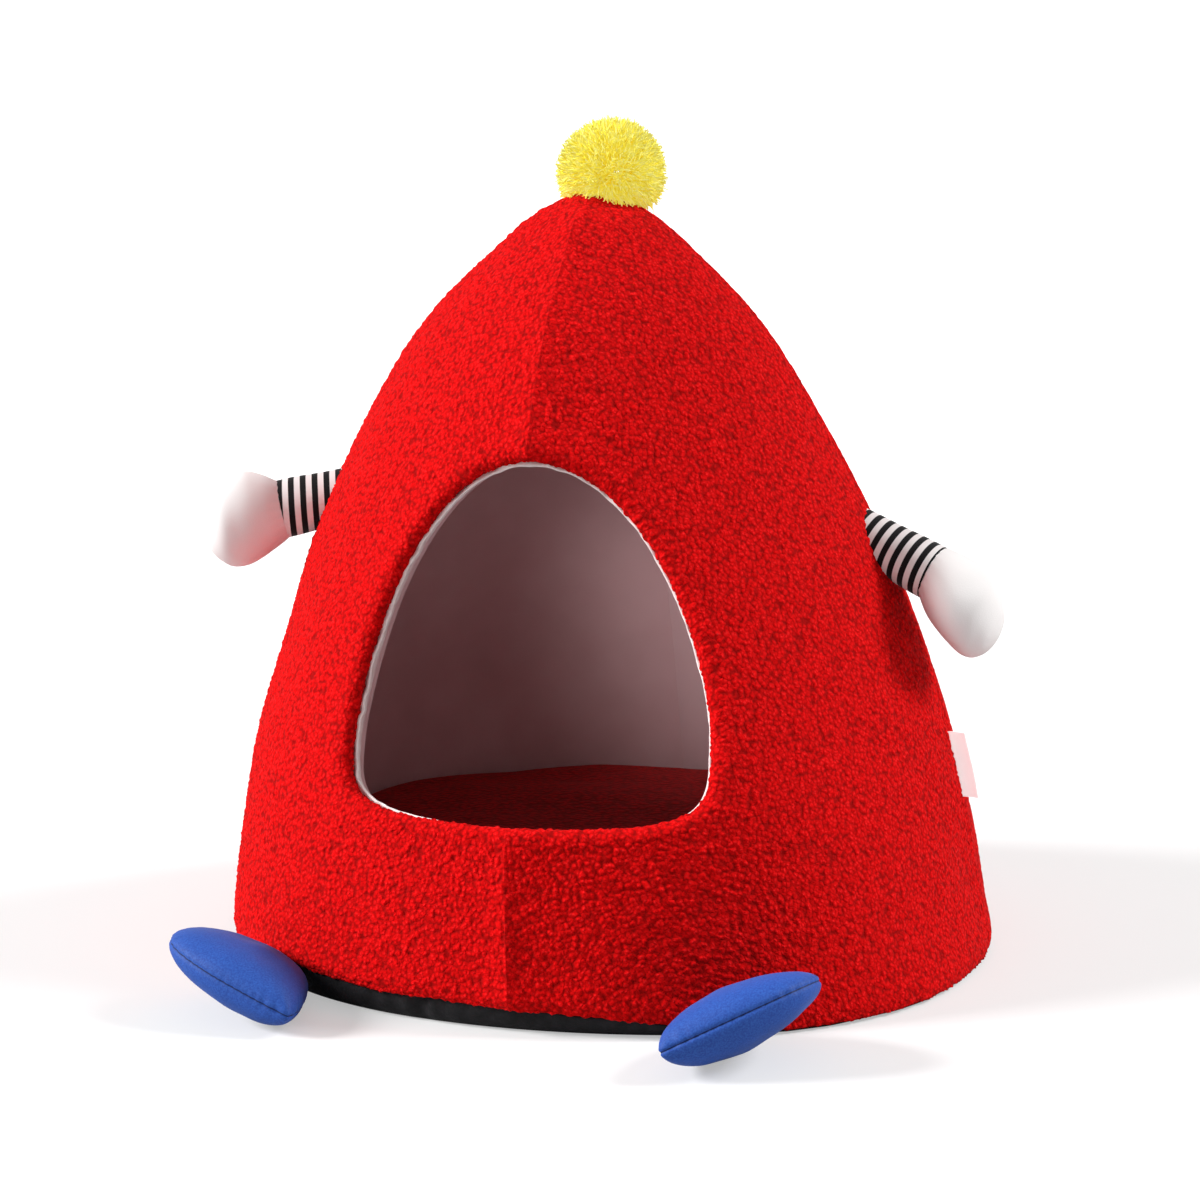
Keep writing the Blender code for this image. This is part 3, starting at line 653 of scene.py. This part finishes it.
def fleece_panel(name, angle, run, depth, flip, finish):
    """A panel of pile over the padded wall. It dips at its seams, where the pile is short."""
    angle, run, depth = np.broadcast_arrays(angle, run, depth)
    away = seam_distance(angle, run)
    ridge = front_ridge(angle, run)
    dip = SEAM_DIP * np.exp(-((away / SEAM_WIDTH) ** 2)) * (1 - RIDGE_FILL * ridge)
    dip = dip - SEAM_RIDGE * np.exp(-away / SEAM_RIDGE_WIDTH) * ridge
    swell = SWELL_HEIGHT * clouds(shell(angle, run, depth), SWELL, SWELL_SEED)
    grid = shell(angle, run, depth + dip - swell * smooth(away / SWELL_FADE))
    normal = grid_normals(grid)
    height, lift = fleece_lift(grid, smooth(away / SEAM_BARE))
    grid = grid + (-normal if flip else normal) * height[..., None]
    # The lift attribute carries the painted shade of the pile's hollows and seams.
    return grid_object(name, grid, finish, {"lift": lift}, flip=not flip)


def front_cover(side, word, finish):
    turn = np.linspace(math.pi, 0, EDGE_ROWS, endpoint=False)
    rolled = [edge_place(EDGE_ROUND * (1 - math.sin(t))) for t in turn]
    rolled_depth = [EDGE_DEPTH / 2 * (1 - math.cos(t)) for t in turn]
    near = edge_place(EDGE_ROUND)
    far = far_place()
    share = np.linspace(0, 1, FRONT_ROWS)[:, None, None]
    places = np.concatenate([rolled, near + (far - near) * share, [far] * len(TUCK_DEPTHS)])
    depth = np.array([*rolled_depth, *[0] * FRONT_ROWS, *TUCK_DEPTHS])[:, None]
    angle, run = rolled_up(places, side)
    return fleece_panel("fleece_front_" + word, angle, run, depth, side < 0, finish)


def back_cover(side, word, finish):
    angle = side * np.linspace(math.pi / 2, math.pi, BACK_COLUMNS)[None, :]
    runs = FULL_RUN * np.linspace(0, 1, BACK_ROWS)
    run = np.array([*runs, *[FULL_RUN] * len(TUCK_DEPTHS)])[:, None]
    depth = np.array([*[0] * BACK_ROWS, *TUCK_DEPTHS])[:, None]
    return fleece_panel("fleece_back_" + word, angle, run, depth, side < 0, finish)


# The lining

LIP = (
    # distance from the entrance line, depth
    (0.0060, 0.0125),
    (0.0035, 0.0114),
    (0.0020, 0.0110),
    (0.0011, 0.0115),
    (0.0012, 0.0127),
    (0.0024, 0.0145),
    (0.0036, 0.0168),
    (0.0044, 0.0192),
)
LIP_STEPS = 5
LIP_DEPTH = 0.0155
LIP_FADE = 0.002
LIP_WAVE = 0.0015
LIP_WAVE_SIZE = 0.0055
LIP_WAVE_SEED = 31
LIP_PROUD = {
    # share of the way from the entrance's top to its sill, how far the lip stands out there
    1: (
        (0.0, 0.0012),
        (0.12, 0.0012),
        (0.3, 0.0004),
        (0.6, -0.0006),
        (0.8, 0.0002),
        (1.0, -0.0022),
    ),
    -1: (
        (0.0, 0.0012),
        (0.2, 0.0018),
        (0.5, 0.0006),
        (0.75, 0.0014),
        (0.85, 0.0006),
        (1.0, -0.0022),
    ),
}
LIP_FORWARDS = 1.2
INSIDE = WALL + 0.0023
LINING_SOFT = 0.02
LINING_SKIP = 3
LINING_ROWS = 40
LINING_BACK_COLUMNS = 70
LINING_BACK_ROWS = 100
FOLD = 0.0016
FOLD_SIZE = 0.035
FOLD_STRETCH = 0.3
FOLD_FADE = 0.04
FOLD_SEED = 33
CREASE = 0.0040
CREASE_WIDTH = 0.012


def lining_front(side):
    """The lip and the front quarter behind it, and how far each point is on the lip."""
    at, proud = np.array(LIP_PROUD[side]).T
    proud = np.interp(np.linspace(0, 1, FRONT_COLUMNS), at, proud)
    places = []
    depths = []
    for distance, depth in spline(LIP, LIP_STEPS):
        turned_out = np.clip((INSIDE - depth) / (INSIDE - LIP[1][1]), 0, 1)
        places.append(edge_place(distance - proud * turned_out)[::LINING_SKIP])
        depths.append(depth - LIP_FORWARDS * proud[::LINING_SKIP] * turned_out)
    near, far = places[-1], far_place()[::LINING_SKIP]
    share = np.linspace(0, 1, LINING_ROWS)[1:, None, None]
    places = np.concatenate([places, near + (far - near) * share])
    depth = np.concatenate([depths, np.full((LINING_ROWS - 1, len(far)), INSIDE)])
    angle, run = rolled_up(places, side)
    # On the lip the lining keeps its own pale colour; elsewhere its finish paints red bounce light
    # and shade.
    on_lip = smooth((LIP_DEPTH - depth) / LIP_FADE)
    wave = LIP_WAVE * clouds(shell(angle, run, 0), LIP_WAVE_SIZE, LIP_WAVE_SEED) * on_lip
    return shell(angle, run, depth + wave, soft=LINING_SOFT), on_lip


def lining_back(side):
    """The back quarter with its soft folds and the creases at its seams, none of it on the lip."""
    angle = side * np.linspace(math.pi / 2, math.pi, LINING_BACK_COLUMNS)[None, :]
    run = FULL_RUN * np.linspace(0, 1, LINING_BACK_ROWS)[:, None]
    angle, run = np.broadcast_arrays(angle, run)
    away = seam_distance(angle, run)
    folds = FOLD * clouds(shell(angle, FOLD_STRETCH * run, 0), FOLD_SIZE, FOLD_SEED)
    folds = folds * smooth(away / FOLD_FADE) + CREASE * (1 - np.exp(-away / CREASE_WIDTH))
    return shell(angle, run, INSIDE + folds, soft=LINING_SOFT), np.zeros(run.shape)


def lining_piece(finish):
    """One thin sheet inside the cover, folded forwards into an uneven lip at the entrance."""
    points, faces, lip = [], [], []
    first = 0
    for side in (1, -1):
        for grid, on_lip in (lining_front(side), lining_back(side)):
            found = grid_faces(*grid.shape[:2])
            faces.append((found if side > 0 else found[:, ::-1]) + first)
            points.append(grid.reshape(-1, 3))
            lip.append(on_lip.ravel())
            first += len(points[-1])
    points, faces, lip = map(np.concatenate, (points, faces, lip))
    return mesh_object("lining_sheet", points, faces, finish, {"lip": lip})


# The base and the cushion

PAD_TOP = 0.0178
BASE_COLUMNS = 720
BASE_ROWS = 19
BASE_RECESS = 0.0014
BASE_SOFT = 0.010
BASE_LEDGE = (0.012, 0.020)
BASE_INSIDE = 0.0212
BASE_CENTRE = 0.02
BASE_WAVE = 0.0008
BASE_WAVE_SIZE = 0.02
BASE_WAVE_SEED = 41
# The puckered joint in the base's edge. Its angles and widths are in degrees.
JOINT_ANGLE = -14
JOINT_WIDTH = 1.6
JOINT_DEPTH = 0.0028
PUCKER = 0.0009
PUCKER_WIDTH = 7
PUCKER_WAVES = 95


def base_piece(finish):
    """The soft black base: a flat underside, a rounded edge under the hem and a rim inside it."""
    angle = np.radians(np.linspace(-180, 180, BASE_COLUMNS + 1)[:-1])
    lift = hem_lift(angle)
    rim = shell(angle, np.full_like(angle, FULL_RUN), 0.0)
    reach = np.hypot(rim[:, 0], rim[:, 1])
    out = rim[:, :2] / reach[:, None]
    from_joint = np.degrees(angle) - JOINT_ANGLE
    joint = JOINT_DEPTH * np.exp(-((from_joint / JOINT_WIDTH) ** 2))
    pucker = PUCKER * np.sin(angle * PUCKER_WAVES) * np.exp(-((from_joint / PUCKER_WIDTH) ** 2))
    wave = BASE_WAVE * clouds(rim, BASE_WAVE_SIZE, BASE_WAVE_SEED)
    rows = [np.column_stack([out * BASE_CENTRE, 0 * angle])]
    for turn in np.radians(np.linspace(0, 90, BASE_ROWS)):
        bulge = math.sin(turn)
        depth = BASE_RECESS + BASE_SOFT * (1 - bulge) + (joint + pucker) * bulge**2
        height = (HEM + lift + wave * bulge) * (1 - math.cos(turn))
        rows.append(np.column_stack([out * (reach - depth)[:, None], height]))
    for depth in BASE_LEDGE:
        rows.append(np.column_stack([out * (reach - depth)[:, None], HEM + lift]))
    inside = shell(angle, run_at(PAD_TOP - lift), BASE_INSIDE)
    for place in (inside[:, :2], out * BASE_CENTRE):
        rows.append(np.column_stack([place, 0 * angle + PAD_TOP]))
    return grid_object("base_pad", np.array(rows), finish, closed=True)


CUSHION = (
    # share of the way from the foot's edge out to the wall, or back to the middle, height over
    # the pad
    (0.00, 0.0003),
    (0.55, 0.0020),
    (0.90, 0.0100),
    (1.00, 0.0200),
    (0.93, 0.0300),
    (0.62, 0.0375),
    (-0.50, 0.0425),
    (-2.00, 0.0460),
    (-4.10, 0.0475),
)
CUSHION_FOOT = 0.150
CUSHION_WALL = WALL + 0.0058
CUSHION_COLUMNS = 240
CUSHION_STEPS = 8
CUSHION_MIDDLE = 0.004
CUSHION_SWELL = 0.002
CUSHION_SWELL_SIZE = 0.05
CUSHION_SWELL_FADE = 0.03
CUSHION_SWELL_SEED = 51
CUSHION_PILE = 0.0006
CUSHION_PILE_SIZE = 0.016
CUSHION_PILE_SEED = 7


def cushion_piece(finish):
    """The filled cushion, with a crown, drawn-in sides and short pile."""
    angle = np.radians(np.linspace(-180, 180, CUSHION_COLUMNS + 1)[:-1])
    wall = shell(angle, np.full_like(angle, FULL_RUN), 0.0)
    near = wall[:, :2] / np.linalg.norm(wall[:, :2], axis=1)[:, None] * CUSHION_FOOT
    rows = []
    for share, height in spline(CUSHION, CUSHION_STEPS):
        height += PAD_TOP
        if share >= 0:
            far = shell(angle, np.full_like(angle, run_at(height)), CUSHION_WALL)[:, :2]
            place = near + (far - near) * share
        else:
            place = near * max(CUSHION_MIDDLE, 1 - share / CUSHION[-1][0])
        rows.append(np.column_stack([place, np.full_like(angle, height)]))
    grid = np.array(rows)
    swell = CUSHION_SWELL * clouds(grid, CUSHION_SWELL_SIZE, CUSHION_SWELL_SEED)
    grid[..., 2] += swell * smooth((grid[..., 2] - PAD_TOP) / CUSHION_SWELL_FADE)
    pile = CUSHION_PILE * clouds(grid, CUSHION_PILE_SIZE, CUSHION_PILE_SEED)
    grid += grid_normals(grid, closed=True) * pile[..., None]
    return grid_object("cushion_fill", grid, finish, closed=True)


# The arms

NECKS = {
    # centre of the neck, direction along the sleeve, whether the wide axis is upright
    "right": ((0.1855, -0.0100, 0.2143), (0.90, -0.20, -0.39), False),
    "left": ((-0.1885, -0.0160, 0.2375), (-0.93, -0.30, -0.21), True),
}
HAND = (
    # along the sleeve's line, narrow half, wide half, drop at the right, drop at the left
    (0.0000, 0.0152, 0.0165, 0.0000, 0.0000),
    (0.0080, 0.0186, 0.0215, 0.0032, -0.0008),
    (0.0170, 0.0209, 0.0255, 0.0060, -0.0008),
    (0.0255, 0.0215, 0.0265, 0.0089, 0.0008),
    (0.0340, 0.0209, 0.0235, 0.0119, 0.0025),
    (0.0400, 0.0170, 0.0180, 0.0144, 0.0040),
    (0.0445, 0.0100, 0.0110, 0.0155, 0.0050),
    (0.0465, 0.0000, 0.0000, 0.0155, 0.0050),
)
HAND_STEPS = 14
HAND_TUCK = 0.002
HAND_TUCK_SHARE = 0.9
HAND_TIP = 0.0002
HAND_UNEVEN = 0.0005
HAND_UNEVEN_SIZE = 0.012
HAND_SEED = 61
GATHERS = 19
GATHER_DEPTH = 0.012
GATHER_LENGTH = 0.004
LIMB_TURN = np.radians(np.linspace(0, 360, 97)[:-1])
SLEEVE_LENGTH = {"right": 0.056, "left": 0.052}
SLEEVE_START = -0.25
SLEEVE_ROWS = 80
SLEEVE_ROOT = 0.93
SLEEVE_UNEVEN = 0.012
SLEEVE_WAVES = 9
SLEEVE_DENTS = 3
SLEEVE_TWIST = 5


def unit(vector):
    vector = np.array(vector, float)
    return vector / np.linalg.norm(vector)


def limb_frame(side):
    """A neck's centre, its axes (along the sleeve, narrow, wide, up) and which way faces turn."""
    centre, along, upright = NECKS[side]
    along = unit(along)
    level = unit(np.cross(along, (0, 0, 1)))
    up = np.cross(level, along)
    narrow, wide = (level, up) if upright else (up, level)
    return np.array(centre), along, narrow, wide, up, np.dot(np.cross(narrow, wide), along) > 0


def ring(middle, narrow, a, wide, b):
    """Points round a limb whose section has these half axes."""
    across = narrow * (a * np.cos(LIMB_TURN))[:, None]
    return middle + across + wide * (b * np.sin(LIMB_TURN))[:, None]


def sleeve_piece(side, finish):
    """A filled knit sleeve from inside the side seam to the hand, a little uneven."""
    centre, along, narrow, wide, _, flip = limb_frame(side)
    shares = np.linspace(SLEEVE_START, 1.0, SLEEVE_ROWS)
    back = SLEEVE_LENGTH[side] * (1 - shares)
    rows = []
    for share, distance in zip(shares, back):
        girth = SLEEVE_ROOT + (1 - SLEEVE_ROOT) * smooth(share)
        girth = girth + SLEEVE_UNEVEN * math.sin(share * SLEEVE_WAVES)
        dent = np.sin(SLEEVE_DENTS * LIMB_TURN + share * SLEEVE_TWIST)
        girth = girth * (1 + SLEEVE_UNEVEN * dent)
        middle = centre - along * distance
        rows.append(ring(middle, narrow, HAND[0][1] * girth, wide, HAND[0][2] * girth))
    grid = np.array(rows)
    drop = grid[-1, :, 2].max() - grid[-1:, :, 2]
    values = {"back": back[:, None] + STRIPES[side][3] * drop}
    return grid_object("sleeve_" + side, grid, finish, values, closed=True, flip=flip)


def hand_piece(side, finish):
    """A stuffed jersey hand, gathered a little where it meets the sleeve."""
    centre, along, narrow, wide, up, flip = limb_frame(side)
    column = 3 if side == "right" else 4
    a, b = (HAND_TUCK_SHARE * half for half in HAND[0][1:3])
    rows = [ring(centre - along * HAND_TUCK, narrow, a, wide, b)]
    ruffle = np.sin(LIMB_TURN * GATHERS + 2 * np.sin(LIMB_TURN * 2))
    for row in spline(HAND, HAND_STEPS, last=np.array(HAND[-2]) * (1, -1, -1, 1, 1)):
        gathers = 1 + GATHER_DEPTH * ruffle * math.exp(-row[0] / GATHER_LENGTH)
        middle = centre + along * row[0] - up * row[column]
        a, b = (max(half, HAND_TIP) * gathers for half in row[1:3])
        rows.append(ring(middle, narrow, a, wide, b))
    grid = np.array(rows)
    uneven = HAND_UNEVEN * clouds(grid, HAND_UNEVEN_SIZE, HAND_SEED)
    grid += grid_normals(grid, closed=True) * uneven[..., None]
    return grid_object("hand_fill_" + side, grid, finish, closed=True, flip=flip)


# The feet

FOOT_LENGTH = 0.0981
FOOT_WIDTH = 0.0725
FOOT_THICKNESS = 0.0326
FOOT_TOE_POWER = 1.43
FOOT_HEEL_POWER = 1.35
FOOT_BROADENING = 0.5
FOOT_THINNING = 0.1
FOOT_FULLNESS = 0.85
FOOT_GRID = 96
FOOT_END = 0.002
FOOT_UNEVEN = 0.0006
FOOT_UNEVEN_SIZE = 0.014
FOOT_SEED = 71
FOOT_SEAM = 0.0009
FOOT_SEAM_COLOUR = 0.0012
FOOT_PUCKER = 0.00045
FOOT_PUCKERS = 46
FOOT_PUCKER_DRIFT = (7, 1.5)
FOOT_PUCKER_REACH = 0.0035
FOOT_PUCKER_FADE = 0.2
FOOT_PUCKER_BELOW = 0.5
FEET = {
    # degrees of yaw, of toe rise and of roll
    "left": (44.7, 10.7, -22.1),
    "right": (54.7, 8.0, -30.0),
}


def turned(points, axis, degrees):
    axis = unit(axis)
    angle = math.radians(degrees)
    along = (points @ axis)[..., None] * axis
    across = np.cross(axis, points)
    return points * math.cos(angle) + across * math.sin(angle) + along * (1 - math.cos(angle))


def foot_relief(grid, girth):
    """The foot's uneven filling, and its panels drawn in and puckered along their seam."""
    x, y, z = np.moveaxis(grid, -1, 0)
    near = np.abs(z)
    reach = np.arctan2(y, x)
    count, amount = FOOT_PUCKER_DRIFT
    pucker = np.sin(reach * FOOT_PUCKERS + amount * np.sin(reach * count))
    pucker = pucker * np.exp(-near / FOOT_PUCKER_REACH) * smooth(girth / FOOT_PUCKER_FADE)
    pucker = pucker * np.where(z > 0, 1.0, FOOT_PUCKER_BELOW)
    height = FOOT_PUCKER * pucker - FOOT_SEAM * np.exp(-((near / FOOT_SEAM) ** 2))
    return height + FOOT_UNEVEN * clouds(grid, FOOT_UNEVEN_SIZE, FOOT_SEED)


def foot_piece(side, finish):
    """A flat stuffed pod of two panels, puckered along the seam round its middle."""
    turn = np.pi * np.linspace(FOOT_END, 1 - FOOT_END, FOOT_GRID)[:, None]
    angle = np.linspace(0, 2 * np.pi, FOOT_GRID, endpoint=False)
    along = -np.cos(turn)
    power = np.where(along > 0, FOOT_TOE_POWER, FOOT_HEEL_POWER)
    girth = np.maximum(1 - along**2, 1e-5) ** (1 / power)
    x = FOOT_LENGTH / 2 * along + 0 * angle
    y = FOOT_WIDTH / 2 * girth * (1 + FOOT_BROADENING * along) * np.cos(angle)
    z = FOOT_THICKNESS / 2 * girth**FOOT_FULLNESS * (1 - FOOT_THINNING * along) * np.sin(angle)
    grid = np.stack([x, y, z], axis=-1)
    normal = grid_normals(grid, closed=True)
    if np.mean(np.sum(normal * grid, axis=-1)) < 0:
        normal = -normal
    grid = grid + normal * foot_relief(grid, girth)[..., None]
    yaw, rise, roll = FEET[side]
    for axis, degrees in (((1, 0, 0), roll), ((0, 1, 0), -rise), ((0, 0, 1), yaw)):
        grid = turned(grid, axis, degrees)
    if side == "left":
        grid = grid * (-1, 1, 1)
    low, high = (np.array(corner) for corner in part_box("foot_" + side))
    grid = grid + (low + high - grid.min(axis=(0, 1)) - grid.max(axis=(0, 1))) / 2
    values = {"seam": np.clip(np.abs(z) / FOOT_SEAM_COLOUR, 0, 1)}
    flip = side == "right"
    return grid_object("foot_fill_" + side, grid, finish, values, closed=True, flip=flip)


# The pompom and the tab

POMPOM_MIDDLE = (-0.0012, 0.0100, 0.4320)
STRANDS = 7000
STRAND_SEED = 8
STRAND_SPREAD = 0.05
STRAND_LENGTH = 0.995
STRAND_UNEVEN = (-0.08, 0.035)
STRAND_BEND = 0.0030
STRAND_RINGS = (
    # share of the strand's length from the ball's centre, half thickness
    (0.6, 0.00044),
    (0.78, 0.00044),
    (0.9, 0.00040),
    (1.0, 0.00030),
)
STRAND_SIDES = 3
TUFTING = 0.045
TUFT_SIZE = 0.25
TUFT_SEED = 81
# Strands that point down more steeply than this are shorter, by this share.
UNDERSIDE = (-0.55, 0.9)
TONE_SPREAD = 0.25
# Each strand is painted darker towards the ball's middle and paler at its tip: painted shade.
STRAND_ROOT_SHADE = (-0.25, 0.2)


def pompom_piece(finish):
    """A ball of cut yarn, each end a thin bent strand."""
    chance = np.random.default_rng(STRAND_SEED)
    low, high = (np.array(corner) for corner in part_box("pompom"))
    radius = (high[0] - low[0]) / 2
    centre = np.array([(low[0] + high[0]) / 2, (low[1] + high[1]) / 2, high[2] - radius])
    number = np.arange(STRANDS) + 0.5
    up = 1 - 2 * number / STRANDS
    turn = number * math.pi * (3 - math.sqrt(5))
    level = np.sqrt(1 - up**2)
    direction = np.stack([level * np.cos(turn), level * np.sin(turn), up], axis=1)
    direction += chance.normal(0, STRAND_SPREAD, direction.shape)
    direction /= np.linalg.norm(direction, axis=1)[:, None]
    length = STRAND_LENGTH + TUFTING * clouds(direction, TUFT_SIZE, TUFT_SEED)
    length = radius * (length + chance.uniform(*STRAND_UNEVEN, STRANDS))
    length = length * np.where(direction[:, 2] < UNDERSIDE[0], UNDERSIDE[1], 1)
    lean = chance.normal(0, 1, (STRANDS, 3))
    lean -= np.sum(lean * direction, axis=1)[:, None] * direction
    side = np.cross(direction, lean)
    side /= np.linalg.norm(side, axis=1)[:, None]
    other = np.cross(direction, side)
    rings = []
    root = STRAND_RINGS[0][0]
    for share, thick in STRAND_RINGS:
        middle = centre + direction * (length * share)[:, None]
        middle = middle + lean * STRAND_BEND * ((share - root) / (1 - root)) ** 2
        for angle in 2 * math.pi * np.arange(STRAND_SIDES) / STRAND_SIDES:
            rings.append(middle + thick * (side * math.cos(angle) + other * math.sin(angle)))
    points = np.stack(rings, axis=1)
    strand = grid_faces(len(STRAND_RINGS), STRAND_SIDES, closed=True)
    faces = (len(rings) * np.arange(STRANDS)[:, None, None] + strand).reshape(-1, 4)
    # Painted shade: each strand darker towards the ball's middle, over a random tone.
    along = np.linspace(*STRAND_ROOT_SHADE, len(STRAND_RINGS)).repeat(STRAND_SIDES)
    tone = 0.5 + TONE_SPREAD * chance.normal(0, 1, (STRANDS, 1)) + along
    return mesh_object("pompom_yarn", points, faces, finish, {"tone": np.clip(tone, 0, 1)})


TAB_WIDTH = 0.0085
TAB_TUCK = 0.004
TAB_COLUMNS = 24
TAB_ROWS = 60
TAB_HALF = 0.0004
TAB_CURL = 0.0022
TAB_WAVE = 0.0006
TAB_WAVE_TURN = 260


def tab_piece(finish):
    """A blank folded tab that stands out of the right side seam."""
    low, high = (np.array(corner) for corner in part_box("tab"))
    across = np.linspace(-TAB_TUCK, TAB_WIDTH, TAB_COLUMNS)[None, :]
    heights = np.linspace(low[2], high[2], TAB_ROWS)[:, None]
    run = run_at(heights)
    x = shell(np.full_like(run, math.pi / 2), run, 0.0)[..., 0] + across
    y = -TAB_CURL * (across / TAB_WIDTH) ** 2 + TAB_WAVE * np.sin(heights * TAB_WAVE_TURN)
    layers = [np.stack([x, y + half, heights + 0 * x], axis=-1) for half in (-TAB_HALF, TAB_HALF)]
    sheet = np.concatenate([layers[0], layers[1][:, ::-1]], axis=1)
    return grid_object("tab_sheet", sheet, finish, closed=True, flip=True)


# The studio. Azimuth 0 is in front, positive to the right, and angles are in degrees.

SUNS = (
    # name, azimuth, elevation, strength, width
    ("key", -70, 30, 4.2, 20),
    ("fill", 108, 38, 2.7, 22),
)
INSIDE_LIGHT_PLACE = (-0.045, -0.105, 0.200)
INSIDE_LIGHT_TARGET = (0.060, 0.150, 0.150)
INSIDE_LIGHT_SIZE = 0.08
INSIDE_LIGHT_SPREAD = 58
INSIDE_LIGHT_POWER = 0.046
SKY = 0.38
FLOOR_SHADE = (188, 188, 188)
FLOOR_GLOW = 0.42
BACKGROUND_GLOW = 0.95
FLOOR_REACH = 14.0
FLOOR_FRONT = 0.4
FLOOR_COLUMNS = 5
BEND_START = 3.0
BEND_TOP = 3.0
BEND_STEPS = 25
CAMERA_TARGET = (-0.0049, -0.0013, 0.1900)
CAMERA_AZIMUTH = 14.5
CAMERA_ELEVATION = 9.5
CAMERA_DISTANCE = 1.7
CAMERA_LENS = 90.37
CAMERA_SENSOR = 36


def direction_from(azimuth, elevation):
    """The direction from the house towards a lamp or the camera."""
    turn, rise = math.radians(azimuth), math.radians(elevation)
    level = math.cos(rise)
    return np.array([math.sin(turn) * level, -math.cos(turn) * level, math.sin(rise)])


def aim(direction):
    return Vector(direction).to_track_quat("-Z", "Y").to_euler()


def sun_light(name, azimuth, elevation, strength, width):
    """A soft distant light."""
    data = bpy.data.lights.new(name, "SUN")
    data.energy = strength
    data.angle = math.radians(width)
    lamp = placed(name, data)
    lamp.rotation_euler = aim(-direction_from(azimuth, elevation))


def inside_light():
    """A small soft lamp just inside the entrance, out of sight. It lifts the lining's back."""
    data = bpy.data.lights.new("inside", "AREA")
    data.size = INSIDE_LIGHT_SIZE
    data.spread = math.radians(INSIDE_LIGHT_SPREAD)
    data.energy = INSIDE_LIGHT_POWER
    lamp = placed("inside", data)
    lamp.location = INSIDE_LIGHT_PLACE
    lamp.rotation_euler = aim(np.array(INSIDE_LIGHT_TARGET) - INSIDE_LIGHT_PLACE)
    lamp.visible_camera = False


def studio_floor():
    """A pale floor that curves up behind the house and, to the camera alone, glows a little."""
    finish = Finish("white floor", FLOOR_SHADE, roughness=0.9)
    seen = finish.node("ShaderNodeLightPath").outputs["Is Camera Ray"]
    finish.set("Emission Color", (1, 1, 1, 1))
    finish.link("Emission Strength", finish.math("MULTIPLY", finish.value("glow"), seen))
    turn = np.radians(np.linspace(0, 90, BEND_STEPS))
    bend = zip(BEND_START + np.sin(turn), 1 - np.cos(turn))
    line = [(-FLOOR_REACH, 0.0), (FLOOR_FRONT, 0.0), *bend, (BEND_START + 1, BEND_TOP)]
    across = np.linspace(-FLOOR_REACH, FLOOR_REACH, FLOOR_COLUMNS)
    rows = [[(x, y, z) for x in across] for y, z in line]
    glow = [[BACKGROUND_GLOW if y > FLOOR_FRONT else FLOOR_GLOW] * len(across) for y, _ in line]
    grid_object("floor", np.array(rows), finish.material, {"glow": glow})


def studio():
    """A pale floor, two soft suns, a lamp inside the house and a soft sky."""
    world = bpy.data.worlds.new("studio")
    world.use_nodes = True
    background = world.node_tree.nodes["Background"]
    background.inputs["Color"].default_value = (1, 1, 1, 1)
    background.inputs["Strength"].default_value = SKY
    scene = bpy.context.scene
    scene.world = world
    scene.view_settings.view_transform = "Standard"
    scene.view_settings.look = "None"
    for sun in SUNS:
        sun_light(*sun)
    inside_light()
    studio_floor()


def camera():
    back = direction_from(CAMERA_AZIMUTH, CAMERA_ELEVATION)
    data = bpy.data.cameras.new("camera")
    data.sensor_width = CAMERA_SENSOR
    data.lens = CAMERA_LENS
    data.dof.use_dof = False
    made = placed("camera", data)
    made.location = np.array(CAMERA_TARGET) + back * CAMERA_DISTANCE
    made.rotation_euler = aim(-back)
    bpy.context.scene.camera = made


def show(piece, node):
    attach(piece, "root")
    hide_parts(node)


def build():
    fleece = fleece_finish()
    for side, word in ((1, "right"), (-1, "left")):
        front = front_cover(side, word, fleece)
        show(front, "cover_front_" + word)
        back = back_cover(side, word, fleece)
        show(back, "cover_back_" + word)
    lining = lining_piece(lining_finish())
    show(lining, "lining")
    base = base_piece(base_finish())
    show(base, "base")
    cushion = cushion_piece(plush_finish())
    show(cushion, "cushion")
    jersey = jersey_finish()
    blue = blue_finish()
    for side in ("left", "right"):
        sleeve = sleeve_piece(side, knit_finish(side))
        show(sleeve, "arm_" + side)
        hand = hand_piece(side, jersey)
        show(hand, "hand_" + side)
        foot = foot_piece(side, blue)
        show(foot, "foot_" + side)
    pompom = pompom_piece(yarn_finish())
    show(pompom, "pompom")
    tab = tab_piece(tab_finish())
    show(tab, "tab")


build()
studio()
camera()
